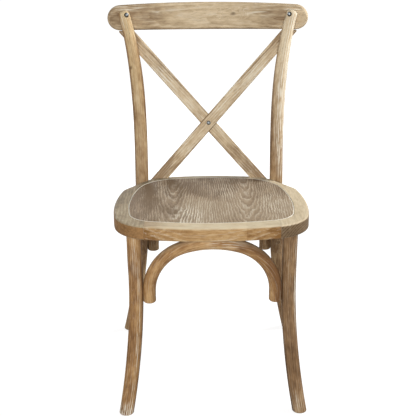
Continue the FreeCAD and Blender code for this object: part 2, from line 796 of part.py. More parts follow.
def arch_plan(name, legs, depth, crown_x, crown_y):
    """Where an arch runs: its foot, its span and rise directions, half span and height.

    legs holds the centre line and the thickness stops of the leg at each end.
    A crown place of None is the middle of the span.
    """
    foot_height = SEAT_BOTTOM - depth
    joint_height = foot_height + size("arch_end_screw_rise")
    first, second = (leg_centre(points, joint_height) for points, stops in legs)
    leg_radius = thickness_at(joint_height, legs[0][1]) / 2
    arch_radius = size("arch_diameter") / 2
    middle = (first + second) * 0.5
    span = (second - first).normalize()
    clear = (second - first).Length / 2 - leg_radius - arch_radius + size("arch_bite")
    foot = Vector(middle.x, middle.y, foot_height)
    crown = Vector(
        middle.x if crown_x is None else crown_x,
        middle.y if crown_y is None else crown_y,
        SEAT_BOTTOM - arch_radius + size("arch_crown_flat"),
    )
    rise = crown - foot
    half_span = derive(name + "_half_span", clear)
    height = derive(name + "_height", rise.Length)
    return foot, span, rise.normalize(), half_span, height


def arch_screws(name, plan, end_rise, grow=0.0):
    """The screws at an arch's ends and at its crown, or the holes for them."""
    foot, span, rise, half_span, height = plan
    sunk = size("arch_diameter") / 2 - size("screw_recess")
    crown_radius = size("arch_crown_radius")
    spread = size("arch_crown_screw_spread")
    drop = crown_radius - math.sqrt(crown_radius**2 - spread**2)
    ends = []
    crowns = []
    for number, side in enumerate((1, -1), start=1):
        end = foot + span * (side * half_span) + rise * (end_rise / rise.z)
        ends.append(wood_screw(
            f"{name}_end_{number}", end - span * (side * sunk), span * side,
            size("arch_end_screw_length"), grow,
        ))
        top = foot + span * (side * spread) + rise * (height - drop)
        crowns.append(wood_screw(
            f"{name}_crown_{number}", top - UP * sunk, UP,
            size("arch_crown_screw_length"), grow,
        ))
    return ends, crowns


def arch_node(name, plan, legs_space, holes):
    """An arch with its crown cut flat and its ends coped round the legs."""
    foot, span, rise, half_span, height = plan
    frame = Placement(foot, Rotation(span, rise.cross(span), rise, "XZY"))
    bent = arch_body(name, half_span, height, frame)
    above = slab(name + "_flat", SEAT_BOTTOM, SEAT_BOTTOM + OVERCUT)
    return cut(name, bent, [above] + legs_space + holes)


# Crossed slats, in a plane that leans back; places in it are measured from the crossing

CREST_BOTTOM = size("overall_height") - size("crest_height")
CREST_CENTRE_Y = size("crest_back") - size("crest_thickness") / 2 - size("crest_bow_radius")


def crest_underside(x):
    """Height of the crest rail's bottom edge."""
    radius = size("crest_bottom_radius")
    return CREST_BOTTOM + radius - math.sqrt(radius**2 - x**2)


SLAT_TOP = crest_underside(size("slat_high_x") - size("slat_width") / 2) - size("slat_crest_gap")
SLAT_RISE = SLAT_TOP - size("seat_height")
SLAT_RUN = size("slat_low_x") + size("slat_high_x")
SLAT_SET_BACK = size("slat_high_y") - size("slat_low_y")
CROSSING_SHARE = size("slat_low_x") / SLAT_RUN
CROSSING = Vector(
    0,
    size("slat_low_y") + SLAT_SET_BACK * CROSSING_SHARE,
    size("seat_height") + SLAT_RISE * CROSSING_SHARE,
)
LEAN = math.atan2(SLAT_SET_BACK, SLAT_RISE)
UP_SLOPE = Vector(0, math.sin(LEAN), math.cos(LEAN))
TO_FRONT = Vector(0, -math.cos(LEAN), math.sin(LEAN))
SLAT_ANGLE = math.atan2(SLAT_RISE / math.cos(LEAN), SLAT_RUN)


def slat_reach(height):
    """Distance from the crossing, along a slat, at which its middle is at a height."""
    return (height - CROSSING.z) / (math.sin(SLAT_ANGLE) * math.cos(LEAN))


SLAT_FOOT_REACH = slat_reach(size("seat_height") - size("slat_foot_depth"))
SLAT_HEAD_REACH = slat_reach(SLAT_TOP) + size("slat_width")
LOWER_SCREW_REACH = slat_reach(size("seat_height") - size("lower_screw_depth"))


def slat_direction(side):
    """Up along the slat that rises to the right (1) or to the left (-1)."""
    return Vector(side * math.cos(SLAT_ANGLE), 0, 0) + UP_SLOPE * math.sin(SLAT_ANGLE)


def slat_block(name, side, start, end, low, high, grow=0.0):
    """A length of slat, between two depths behind its front face (negative is behind)."""
    along = slat_direction(side)
    across = TO_FRONT.cross(along)
    width = size("slat_width") + 2 * grow
    block = box(name, (0, 0, 0), end - start, width, high - low)
    corner = CROSSING + along * start - across * (width / 2) + TO_FRONT * low
    block.Placement = Placement(corner, Rotation(along, across, TO_FRONT, "XZY"))
    return block


def slat_space(name):
    """The space that both ends of the slats fill on the right side of the chair."""
    thickness = size("slat_thickness")
    foot = slat_block(
        name + "_foot", -1, SLAT_FOOT_REACH - FIT, -size("slat_width"),
        -thickness - FIT, FIT, FIT,
    )
    head = slat_block(
        name + "_head", 1, size("slat_width"), SLAT_HEAD_REACH,
        -thickness - FIT, FIT, FIT,
    )
    below_top = slab(name + "_level", 0, SLAT_TOP + FIT)
    return foot, common(name + "_head_cut", head, below_top)


def cross_slat(name, side, lap_low, lap_high, holes):
    """One slat, halved over the other one."""
    long_bar = slat_block(
        name + "_bar", side, SLAT_FOOT_REACH, SLAT_HEAD_REACH, -size("slat_thickness"), 0
    )
    bar = common(name + "_length", long_bar, slab(name + "_level", 0, SLAT_TOP))
    soft = filleted(name + "_soft", bar, lambda edge: True, size("slat_edge_rounding"))
    lap = slat_block(
        name + "_lap", -side, -size("slat_width"), size("slat_width"), lap_low, lap_high, FIT
    )
    return cut(name, soft, [lap] + holes)


def slat_screws(name, grow=0.0):
    """The right-hand screws at the slats' upper and lower ends, or the holes for them."""
    sunk = TO_FRONT * (size("screw_recess") - size("slat_thickness"))
    upper_height = SLAT_TOP - size("upper_screw_drop")
    up_slope = (upper_height - CROSSING.z) / math.cos(LEAN)
    upper = CROSSING + UP_SLOPE * up_slope
    upper.x = leg_centre(REAR_LEG_POINTS, upper_height).x
    lower = CROSSING + slat_direction(-1) * LOWER_SCREW_REACH
    return [
        wood_screw(
            name + "_upper", upper + sunk, TO_FRONT, size("upper_slat_screw_length"), grow
        ),
        wood_screw(
            name + "_lower", lower + sunk, TO_FRONT, size("lower_slat_screw_length"), grow
        ),
    ]


# Crest rail


def crest_blank():
    """The bowed crest rail with rounded edges, before it is fitted to the posts."""
    body = doc.addObject("PartDesign::Body", "crest_front_view")
    top_radius = size("crest_top_radius")
    bottom_radius = size("crest_bottom_radius")
    end_radius = size("crest_end_radius")
    top = Vector(0, size("overall_height") - top_radius, 0)
    bottom = Vector(0, CREST_BOTTOM + bottom_radius, 0)
    right = corner_centre(top, top_radius, bottom, bottom_radius, end_radius, Vector(1, 0, 0))
    left = Vector(-right.x, right.y, 0)
    top_right = touch_point(top, top_radius, right)
    top_left = touch_point(top, top_radius, left)
    bottom_right = touch_point(bottom, bottom_radius, right)
    bottom_left = touch_point(bottom, bottom_radius, left)
    outline = body_sketch(body, "crest_outline", "XZ_Plane")
    outline.addGeometry(arc_between(top, top_radius, top_right, top_left))
    outline.addGeometry(arc_between(left, end_radius, top_left, bottom_left))
    outline.addGeometry(arc_between(bottom, bottom_radius, bottom_left, bottom_right))
    outline.addGeometry(arc_between(right, end_radius, bottom_right, top_right))
    for number in range(4):
        outline.addConstraint(
            Sketcher.Constraint("Tangent", number, 2, (number + 1) % 4, 1)
        )
    for number in (0, 2):
        outline.addConstraint(Sketcher.Constraint("PointOnObject", number, 3, -2))
    pin(outline, "top_radius", ("Radius", 0, top_radius), "Sizes.crest_top_radius")
    pin(outline, "left_end", ("Radius", 1, end_radius), "Sizes.crest_end_radius")
    pin(outline, "bottom_radius", ("Radius", 2, bottom_radius), "Sizes.crest_bottom_radius")
    pin(outline, "right_end", ("Radius", 3, end_radius), "Sizes.crest_end_radius")
    pin(
        outline, "top_place", ("DistanceY", -1, 1, 0, 3, top.y),
        "Sizes.overall_height - Sizes.crest_top_radius",
    )
    pin(
        outline, "bottom_place", ("DistanceY", -1, 1, 2, 3, bottom.y),
        "Sizes.overall_height - Sizes.crest_height + Sizes.crest_bottom_radius",
    )
    doc.recompute()
    board = body.newObject("PartDesign::Pad", "crest_board")
    board.Profile = outline
    board.Reversed = True
    bind(board, Length="Sizes.crest_back + Sizes.crest_thickness")
    centre = Vector(0, CREST_CENTRE_Y, CREST_BOTTOM - OVERCUT)
    height = f"Sizes.crest_height + {2 * OVERCUT}"
    outer = cylinder(
        "crest_outer", centre, UP, "Sizes.crest_bow_radius + Sizes.crest_thickness / 2", height
    )
    inner = cylinder(
        "crest_inner", centre, UP, "Sizes.crest_bow_radius - Sizes.crest_thickness / 2", height
    )
    bowed = common("crest_bowed", body, cut("crest_band", outer, [inner]))
    return filleted("crest_soft", bowed, lambda edge: True, size("crest_edge_rounding"))


# Seat frame: four rails, joined by dowels


def rim_region(name, low_x, high_x, low_y, high_y):
    """A block that takes in part of the rim."""
    corner = (low_x, low_y, SEAT_BOTTOM - OVERCUT)
    height = size("seat_thickness") + 2 * OVERCUT
    return box(name, corner, high_x - low_x, high_y - low_y, height)


def dowels(name, grow=0.0, extra=0.0):
    """The right-hand dowels of the rim joints, or the holes for them."""
    length = size("dowel_length") + extra
    height = SEAT_BOTTOM + size("dowel_rise")
    joints = (
        ("front", size("front_joint_place"), size("front_dowel_y"), size("front_dowel_pitch")),
        ("rear", size("rear_joint_place"), size("rear_dowel_y"), -size("rear_dowel_pitch")),
    )
    rods = []
    for label, place, first, pitch in joints:
        for number in range(2):
            base = Vector(place - length / 2, first + number * pitch, height)
            rods.append(cylinder(
                f"{name}_{label}_{number + 1}", base, Vector(1, 0, 0),
                f"Sizes.dowel_diameter / 2 + {grow}", f"{length}",
            ))
    return rods


# The rear leg bolts run square to the flat on the seat's rear corner

CORNER_ANGLE = math.radians(size("corner_flat_angle"))
CORNER_FACING = Vector(math.cos(CORNER_ANGLE), math.sin(CORNER_ANGLE), 0)
LEG_BOLT_CENTRE = leg_centre(REAR_LEG_POINTS, SEAT_BOTTOM + size("leg_bolt_rise"))
CORNER_FLAT = size("post_diameter") / 2 - size("post_housing")
LEG_BOLT_HEAD = size("post_diameter") / 2 - size("spot_face_depth")


def corner_flat_cutter():
    """Everything outside the flat on the right rear corner, where the post stands."""
    wide = 2 * size("seat_half_width")
    along = UP.cross(CORNER_FACING)
    start = Vector(LEG_BOLT_CENTRE.x, LEG_BOLT_CENTRE.y, SEAT_BOTTOM - OVERCUT)
    block = box("corner_flat", (0, 0, 0), wide, wide, size("seat_thickness") + 2 * OVERCUT)
    block.Placement = Placement(
        start - CORNER_FACING * CORNER_FLAT - along * (wide / 2),
        Rotation(CORNER_FACING, along, UP, "XZY"),
    )
    return block


def barrel_nut(name, bolt_bore):
    """The barrel nut of the right rear leg bolt."""
    centre = LEG_BOLT_CENTRE - CORNER_FACING * (CORNER_FLAT + size("barrel_depth"))
    base = centre - UP * (size("barrel_length") / 2)
    barrel = cylinder(
        name + "_barrel", base, UP, "Sizes.barrel_diameter / 2", "Sizes.barrel_length"
    )
    return cut(name, barrel, [bolt_bore])


def barrel_hole(name):
    """The hole for that nut, from the underside of the seat."""
    centre = LEG_BOLT_CENTRE - CORNER_FACING * (CORNER_FLAT + size("barrel_depth"))
    base = Vector(centre.x, centre.y, SEAT_BOTTOM - OVERCUT)
    top = centre.z + size("barrel_length") / 2 + FIT
    return cylinder(
        name, base, UP, "Sizes.barrel_diameter / 2 + Sizes.fit", f"{top - base.z}"
    )


# Spaces that the legs fill, for the pieces that are fitted round them

front_leg_space = front_leg_rod("front_leg_space", FIT)
rear_leg_space = rear_leg_rod("rear_leg_space", FIT)
front_leg_space_left = mirrored("front_leg_space_left", front_leg_space)
rear_leg_space_left = mirrored("rear_leg_space_left", rear_leg_space)
slat_foot_space, slat_head_space = slat_space("slat_space")

# Arches, with their screws and the holes for them

FRONT_LEG = (FRONT_LEG_POINTS, FRONT_LEG_STOPS)
REAR_LEG = (REAR_LEG_POINTS, REAR_LEG_STOPS)


def twin_points(points):
    """The centre line of the left-hand leg."""
    return [(-x, y, z) for x, y, z in points]


FRONT_LEG_LEFT = (twin_points(FRONT_LEG_POINTS), FRONT_LEG_STOPS)
REAR_LEG_LEFT = (twin_points(REAR_LEG_POINTS), REAR_LEG_STOPS)

front_plan = arch_plan(
    "front_arch", (FRONT_LEG_LEFT, FRONT_LEG), size("front_arch_depth"),
    None, size("front_arch_crown_y"),
)
rear_plan = arch_plan(
    "rear_arch", (REAR_LEG_LEFT, REAR_LEG), size("rear_arch_depth"),
    None, size("rear_arch_crown_y"),
)
side_plan = arch_plan(
    "right_arch", (FRONT_LEG, REAR_LEG), size("side_arch_depth"),
    size("side_arch_crown_x"), None,
)
low_rise = size("arch_end_screw_rise")
high_rise = size("side_arch_screw_rise")
front_ends, front_crowns = arch_screws("front_arch_screw", front_plan, low_rise)
rear_ends, rear_crowns = arch_screws("rear_arch_screw", rear_plan, low_rise)
side_ends, side_crowns = arch_screws("side_arch_screw", side_plan, high_rise)
front_end_holes, front_crown_holes = arch_screws("front_arch_hole", front_plan, low_rise, FIT)
rear_end_holes, rear_crown_holes = arch_screws("rear_arch_hole", rear_plan, low_rise, FIT)
side_end_holes, side_crown_holes = arch_screws("side_arch_hole", side_plan, high_rise, FIT)

front_arch = arch_node(
    "front_arch", front_plan, [front_leg_space, front_leg_space_left],
    front_end_holes + front_crown_holes,
)
rear_arch = arch_node(
    "rear_arch", rear_plan, [rear_leg_space, rear_leg_space_left],
    rear_end_holes + rear_crown_holes,
)
right_arch = arch_node(
    "right_arch", side_plan, [front_leg_space, rear_leg_space],
    side_end_holes + side_crown_holes,
)
left_arch = mirrored("left_arch", right_arch)
arch_end_screws = grouped(
    "arch_end_screws",
    front_ends + rear_ends + side_ends
    + [mirrored(screw.Name + "_left", screw) for screw in side_ends],
)
arch_crown_screws = grouped(
    "arch_crown_screws",
    front_crowns + rear_crowns + side_crowns
    + [mirrored(screw.Name + "_left", screw) for screw in side_crowns],
)

# Crest bolts, through the posts and the crest rail

TO_BACK = Vector(0, 1, 0)
crest_bolt_place = Vector(
    size("crest_bolt_x"), 0, size("overall_height") - size("crest_bolt_drop")
)
post_there = leg_centre(REAR_LEG_POINTS, crest_bolt_place.z)
post_radius_there = thickness_at(crest_bolt_place.z, REAR_LEG_STOPS) / 2
post_front = post_there.y - math.sqrt(
    post_radius_there**2 - (crest_bolt_place.x - post_there.x)**2
)
crest_back_radius = size("crest_bow_radius") + size("crest_thickness") / 2
crest_back_there = CREST_CENTRE_Y + math.sqrt(crest_back_radius**2 - crest_bolt_place.x**2)
crest_head_base = crest_bolt_place + TO_BACK * (post_front + size("crest_spot_depth"))
crest_nut_base = crest_bolt_place + TO_BACK * (crest_back_there - size("crest_nut_depth"))
nut_grip = size("nut_height") - size("nut_wall") - size("bolt_run_out")
crest_bolt_length = crest_nut_base.y + nut_grip - crest_head_base.y

crest_bolt = domed_bolt("crest_bolt", crest_head_base, TO_BACK, crest_bolt_length)
crest_bolt_hole = bolt_hole("crest_bolt_hole", crest_head_base, TO_BACK, crest_bolt_length)
crest_nut = cap_nut("crest_nut", crest_nut_base, TO_BACK)
crest_nut_seat = nut_seat("crest_nut_seat", crest_nut_base, TO_BACK)
crest_bolts = both_sides("crest_bolts", [crest_bolt])
crest_bolt_nuts = both_sides("crest_bolt_nuts", [crest_nut])

# Bolt and nut at the crossing

TO_REAR = TO_FRONT * -1
cross_bolt_length = size("slat_thickness") + nut_grip
cross_centre_bolt = domed_bolt("cross_centre_bolt", CROSSING, TO_REAR, cross_bolt_length)
cross_bolt_hole = bolt_hole("cross_bolt_hole", CROSSING, TO_REAR, cross_bolt_length)
cross_centre_nut = cap_nut(
    "cross_centre_nut", CROSSING + TO_REAR * size("slat_thickness"), TO_REAR
)

# Slats and their screws

upper_screw, lower_screw = slat_screws("slat_screw")
upper_hole, lower_hole = slat_screws("slat_hole", FIT)
upper_hole_left = mirrored("slat_hole_upper_left", upper_hole)
lower_hole_left = mirrored("slat_hole_lower_left", lower_hole)
half = size("slat_thickness") / 2
cross_slat_front = cross_slat(
    "cross_slat_front", 1, -size("slat_thickness") - OVERCUT, -half,
    [cross_bolt_hole, upper_hole, lower_hole_left],
)
cross_slat_rear = cross_slat(
    "cross_slat_rear", -1, -half, OVERCUT,
    [cross_bolt_hole, upper_hole_left, lower_hole],
)
cross_upper_screws = both_sides("cross_upper_screws", [upper_screw])
cross_lower_screws = both_sides("cross_lower_screws", [lower_screw])

# Rear leg bolts and their barrel nuts

leg_bolt_base = LEG_BOLT_CENTRE + CORNER_FACING * LEG_BOLT_HEAD
leg_bolt_aim = CORNER_FACING * -1
leg_bolt = domed_bolt("leg_bolt", leg_bolt_base, leg_bolt_aim, size("leg_bolt_length"))
leg_bolt_hole = bolt_hole(
    "leg_bolt_hole", leg_bolt_base, leg_bolt_aim, size("leg_bolt_length")
)
leg_barrel_nut = barrel_nut("leg_barrel_nut", leg_bolt_hole)
leg_barrel_hole = barrel_hole("leg_barrel_hole")
rear_leg_bolts = both_sides("rear_leg_bolts", [leg_bolt])
rear_leg_barrel_nuts = both_sides("rear_leg_barrel_nuts", [leg_barrel_nut])

# Crest rail, let in over the posts

crest_cutters = []
for cutter in (rear_leg_space, crest_bolt_hole, crest_nut_seat):
    crest_cutters += [cutter, mirrored(cutter.Name + "_twin", cutter)]
crest_rail = cut("crest_rail", crest_blank(), crest_cutters)

# Front legs

front_leg_bare = common(
    "front_leg_bare", front_leg_rod("front_leg_rod"), slab("front_leg_length", 0, SEAT_BOTTOM)
)
front_leg_soft = filleted(
    "front_leg_soft", front_leg_bare, lies_on_floor, size("foot_rounding")
)
tenon_base = Vector(size("front_leg_top_x"), size("front_leg_top_y"), SEAT_BOTTOM - OVERCUT)
tenon = cylinder(
    "tenon", tenon_base, UP, "Sizes.tenon_diameter / 2", f"Sizes.tenon_length + {OVERCUT}"
)
socket = cylinder(
    "socket", tenon_base, UP, "Sizes.tenon_diameter / 2 + Sizes.fit",
    f"Sizes.tenon_length + Sizes.fit + {OVERCUT}",
)
front_leg_right = cut(
    "front_leg_right", fused("front_leg_tenoned", [front_leg_soft, tenon]),
    [front_end_holes[0], side_end_holes[1]],
)
front_leg_left = mirrored("front_leg_left", front_leg_right)

# Rear legs with the back posts

rear_leg_bare = common(
    "rear_leg_bare", rear_leg_rod("rear_leg"), slab("rear_leg_length", 0, REACH)
)
rear_leg_soft = filleted("rear_leg_soft", rear_leg_bare, lies_on_floor, size("foot_rounding"))
rear_leg_right = cut(
    "rear_leg_right", rear_leg_soft,
    [slat_head_space, crest_bolt_hole, upper_hole, leg_bolt_hole,
     rear_end_holes[0], side_end_holes[0]],
)
rear_leg_left = mirrored("rear_leg_left", rear_leg_right)

# Seat

rim_blank = seat_rim_blank()
widest = size("seat_widest_place")
front_region = rim_region(
    "front_region", -size("front_joint_place"), size("front_joint_place"), -REACH / 2, widest
)
rear_region = rim_region(
    "rear_region", -size("rear_joint_place"), size("rear_joint_place"), widest, REACH / 2
)
left_region = rim_region("left_region", -REACH / 2, 0, -REACH / 2, REACH / 2)
dowel_pins = dowels("rim_dowel")
dowel_holes = dowels("rim_dowel_hole", FIT, 2 * FIT)
all_dowel_holes = dowel_holes + [mirrored(hole.Name + "_left", hole) for hole in dowel_holes]
seat_frame_dowels = both_sides("seat_frame_dowels", dowel_pins)

seat_front_rail = cut(
    "seat_front_rail", common("front_rail_blank", rim_blank, front_region),
    all_dowel_holes + front_crown_holes,
)
seat_rear_rail = cut(
    "seat_rear_rail", common("rear_rail_blank", rim_blank, rear_region),
    all_dowel_holes + rear_crown_holes,
)
seat_right_rail = cut(
    "seat_right_rail",
    cut("right_rail_blank", rim_blank, [front_region, rear_region, left_region]),
    dowel_holes + side_crown_holes + [
        corner_flat_cutter(), rear_leg_space, socket, leg_bolt_hole, leg_barrel_hole,
        slat_foot_space, lower_hole,
    ],
)
seat_left_rail = mirrored("seat_left_rail", seat_right_rail)
panel = seat_panel()

NODES = [
    front_leg_left, front_leg_right, rear_leg_left, rear_leg_right,
    seat_front_rail, seat_rear_rail, seat_left_rail, seat_right_rail, panel,
    crest_rail, cross_slat_front, cross_slat_rear,
    front_arch, rear_arch, left_arch, right_arch,
    crest_bolts, crest_bolt_nuts, cross_centre_bolt, cross_centre_nut,
    cross_upper_screws, cross_lower_screws, rear_leg_bolts, rear_leg_barrel_nuts,
    arch_end_screws, arch_crown_screws, seat_frame_dowels,
]

doc.recompute()
for thing in doc.Objects:
    if "Invalid" in thing.State or "Error" in thing.State:
        raise RuntimeError(f"{thing.Label} could not be built: {thing.State}")

os.makedirs("parts", exist_ok=True)
for node in NODES:
    shape = node.Shape
    if shape.isNull() or not shape.isValid() or not shape.Solids:
        raise RuntimeError(f"{node.Label} is not a valid solid")
    shape.exportStep(f"parts/{node.Label}.step")
    print(f"{node.Label}: {len(shape.Solids)} solid(s), {shape.Volume:.0f} mm3")
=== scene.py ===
import math

import bpy
import numpy as np
from mathutils import Matrix, Vector


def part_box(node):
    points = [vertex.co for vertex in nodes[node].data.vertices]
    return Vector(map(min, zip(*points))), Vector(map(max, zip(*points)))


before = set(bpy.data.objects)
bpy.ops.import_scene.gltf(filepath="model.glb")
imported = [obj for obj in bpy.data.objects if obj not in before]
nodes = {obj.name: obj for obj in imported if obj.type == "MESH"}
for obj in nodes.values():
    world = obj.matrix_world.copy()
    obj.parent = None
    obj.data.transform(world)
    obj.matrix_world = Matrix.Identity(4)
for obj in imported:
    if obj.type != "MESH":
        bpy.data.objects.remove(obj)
scene = bpy.context.scene
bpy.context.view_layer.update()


# Coordinates along the grain: each wooden piece gets a vector (across, depth, along) in metres,
# measured from its own middle, and a seed so that no two pieces show the same wood

X, Y, Z = range(3)

# In how many slices the middle line of a bent piece is found, and the degrees of its curve
SLICES = 24
LEG_DEGREE = 6
ARCH_DEGREE = 8
CREST_DEGREE = 4


def places_of(piece):
    """The x, y and z of a piece's vertices, as three arrays."""
    flat = np.zeros(len(piece.data.vertices) * 3)
    piece.data.vertices.foreach_get("co", flat)
    return flat.reshape(-1, 3).T


def middle_of(values):
    """The middle between the lowest and the highest value."""
    return (values.max() + values.min()) / 2


def set_grain(piece, across, depth, along, seed):
    """Stores the coordinates and the seed on the vertices."""
    values = np.stack([across, depth, along], axis=1)
    layer = piece.data.attributes.new("grain", "FLOAT_VECTOR", "POINT")
    layer.data.foreach_set("vector", values.astype(np.float32).ravel())
    number = piece.data.attributes.new("seed", "FLOAT", "POINT")
    number.data.foreach_set("value", np.full(len(values), seed, np.float32))


def middle_line(where, values, degree):
    """The middle line of a bent piece: the middle of its values, as a smooth function of where."""
    centre, half = middle_of(where), (where.max() - where.min()) / 2
    cuts = np.linspace(where.min(), where.max(), SLICES + 1)
    slices = []
    middles = []
    for low, high in zip(cuts, cuts[1:]):
        inside = (where >= low) & (where <= high)
        if inside.any():
            slices.append(((low + high) / 2 - centre) / half)
            middles.append(middle_of(values[inside]))
    fit = np.polynomial.Polynomial.fit(slices, middles, degree, domain=[-1, 1])
    return lambda place: fit((place - centre) / half)


def leg_grain(piece, seed):
    """Grain that follows the bend of a leg."""
    x, y, z = places_of(piece)
    middle_x = middle_line(z, x, LEG_DEGREE)
    middle_y = middle_line(z, y, LEG_DEGREE)
    set_grain(piece, x - middle_x(z), y - middle_y(z), z - middle_of(z), seed)


def level_crossing(axis):
    """The level axis square to a level axis."""
    return Y if axis == X else X


def arch_grain(piece, span_axis, seed):
    """Grain that follows the bend of an arch, as seen from a point between its feet."""
    foot_height = 0.03
    length_per_radian = 0.14
    run_out = 0.10
    places = places_of(piece)
    span, aside, height = places[span_axis], places[level_crossing(span_axis)], places[Z]
    sideways = span - middle_of(span)
    upward = height - height.min() - foot_height
    turn = np.arctan2(upward, sideways)
    turn = np.where(turn < -math.pi / 2, turn + 2 * math.pi, turn)
    radius = np.hypot(sideways, upward)
    mean_radius = middle_line(turn, radius, ARCH_DEGREE)
    mean_aside = middle_line(turn, aside, LEG_DEGREE)
    along = (turn - math.pi / 2) * length_per_radian
    across = radius - mean_radius(turn) + run_out * along
    set_grain(piece, across, aside - mean_aside(turn), along, seed)


def board_grain(piece, along_axis, seed):
    """Straight grain along one level axis."""
    places = [values - middle_of(values) for values in places_of(piece)]
    set_grain(piece, places[level_crossing(along_axis)], places[Z], places[along_axis], seed)


def crest_grain(piece, seed):
    """Grain that follows the bow of the crest rail."""
    x, y, z = places_of(piece)
    middle_y = middle_line(x, y, CREST_DEGREE)
    set_grain(piece, z - middle_of(z), y - middle_y(x), x, seed)


def slat_grain(piece, side, seed):
    """Grain along a slat that rises to the right (1) or to the left (-1)."""
    low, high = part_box("cross_centre_bolt")
    crossing = (low + high) / 2
    low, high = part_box(piece.name)
    lean = (high.y - low.y) / (high.z - low.z)
    angle = math.atan2(high.z - low.z, high.x - low.x)
    x, y, z = places_of(piece) - np.array(crossing).reshape(3, 1)
    along = x * side * math.cos(angle) + z * math.sin(angle)
    across = -x * side * math.sin(angle) + z * math.cos(angle)
    set_grain(piece, across, y - lean * z, along, seed)


# Shader building

# Where a colour Mix node keeps its two colours and its result
FIRST_COLOUR, SECOND_COLOUR = 6, 7
MIXED_COLOUR = 2


class Shader:
    """A material's node tree with short names for what is used here."""

    def __init__(self, name):
        self.material = bpy.data.materials.new(name)
        self.material.use_nodes = True
        self.tree = self.material.node_tree
        self.surface = self.tree.nodes["Principled BSDF"]

    def node(self, kind, **settings):
        """A new node with its settings."""
        made = self.tree.nodes.new(kind)
        for key, value in settings.items():
            setattr(made, key, value)
        return made

    def feed(self, socket, value):
        """Links a socket to another node's output, or sets it to a plain value."""
        if isinstance(value, bpy.types.NodeSocket):
            self.tree.links.new(value, socket)
        else:
            socket.default_value = value

    def math(self, operation, a, b=0.0, c=0.0, clamp=False):
        """One calculation with numbers."""
        made = self.node("ShaderNodeMath", operation=operation, use_clamp=clamp)
        for socket, value in zip(made.inputs, (a, b, c)):
            self.feed(socket, value)
        return made.outputs[0]

    def product(self, *values):
        """All the values multiplied."""
        total = values[0]
        for value in values[1:]:
            total = self.math("MULTIPLY", total, value)
        return total

    def vector(self, operation, a, b=(0.0, 0.0, 0.0)):
        """One calculation with vectors."""
        made = self.node("ShaderNodeVectorMath", operation=operation)
        self.feed(made.inputs[0], a)
        self.feed(made.inputs[1], b)
        return made.outputs["Value" if operation in ("DOT_PRODUCT", "LENGTH") else "Vector"]

    def attribute(self, name, output):
        """What is stored on the mesh under a name."""
        return self.node("ShaderNodeAttribute", attribute_name=name).outputs[output]

    def object_place(self):
        """The place on the object, which is the place in the shared frame."""
        return self.node("ShaderNodeTexCoord").outputs["Object"]

    def split(self, value):
        """A vector's three parts."""
        made = self.node("ShaderNodeSeparateXYZ")
        self.feed(made.inputs[0], value)
        return made.outputs[0], made.outputs[1], made.outputs[2]

    def join(self, x, y, z):
        """A vector of three parts."""
        made = self.node("ShaderNodeCombineXYZ")
        for socket, value in zip(made.inputs, (x, y, z)):
            self.feed(socket, value)
        return made.outputs[0]

    def cloud(self, place, across, along, detail=3.0, colour=False):
        """Noise in clouds about so wide across the grain and so long along it, in metres."""
        made = self.node("ShaderNodeTexNoise", noise_dimensions="3D")
        scaled = self.vector("MULTIPLY", place, (1 / across, 1 / across, 1 / along))
        self.feed(made.inputs["Vector"], scaled)
        made.inputs["Scale"].default_value = 1.0
        made.inputs["Detail"].default_value = detail
        made.inputs["Roughness"].default_value = 0.6
        return made.outputs["Color" if colour else "Fac"]

    def ramp(self, value, stops):
        """A colour that changes with a value, from stop to stop."""
        made = self.node("ShaderNodeValToRGB")
        self.feed(made.inputs[0], value)
        band = made.color_ramp
        while len(band.elements) < len(stops):
            band.elements.new(0.5)
        for element, (place, colour) in zip(band.elements, stops):
            element.position = place
            element.color = (*colour, 1.0)
        return made.outputs[0]

    def level(self, value, low, high):
        """0 at low and 1 at high, with a smooth step between them."""
        made = self.node("ShaderNodeMapRange", interpolation_type="SMOOTHSTEP")
        for socket, number in zip(made.inputs, (value, low, high)):
            self.feed(socket, number)
        return made.outputs[0]

    def sway(self, total, value, weight):
        """Adds a value that swings about one half, weighted, to a total."""
        swing = self.math("SUBTRACT", value, 0.5)
        return self.math("MULTIPLY_ADD", swing, weight, total)

    def mix(self, amount, a, b, kind="MIX"):
        """Two colours mixed."""
        made = self.node("ShaderNodeMix", data_type="RGBA", blend_type=kind)
        self.feed(made.inputs[0], amount)
        for socket, colour in ((FIRST_COLOUR, a), (SECOND_COLOUR, b)):
            self.feed(made.inputs[socket], (*colour, 1.0) if isinstance(colour, tuple) else colour)
        return made.outputs[MIXED_COLOUR]

    def relief(self, height, strength, distance, normal=None):
        """Gives the surface the small relief of a height."""
        bump = self.node("ShaderNodeBump")
        bump.inputs["Strength"].default_value = strength
        bump.inputs["Distance"].default_value = distance
        self.feed(bump.inputs["Height"], height)
        if normal is not None:
            self.feed(bump.inputs["Normal"], normal)
        self.feed(self.surface.inputs["Normal"], bump.outputs[0])


def from_screen(red, green, blue):
    """A colour given as it shows on screen, 0 to 255, in the renderer's linear values."""
    def linear(value):
        """The sRGB curve."""
        value /= 255
        return value / 12.92 if value <= 0.04045 else ((value + 0.055) / 1.055) ** 2.4
    return (linear(red), linear(green), linear(blue))


def dimmed(colour, share):
    """A colour made darker."""
    return tuple(share * value for value in colour)


# Oak: the wood of every large piece

LIME = from_screen(222, 214, 196)
# The pale of bleached wear and of painted top light, laid on faces that look up
BLEACHED_AND_TOP_LIT = from_screen(212, 200, 172)
TONE_STOPS = (0.1, 0.5, 0.9)
SEED_STEP = 1.37

# How round edges are shaded, how deep the relief is and how far the grain wanders, in metres
EDGE_RADIUS = 0.0022
RELIEF_DEPTH = 0.0006
GRAIN_WANDER = 0.014

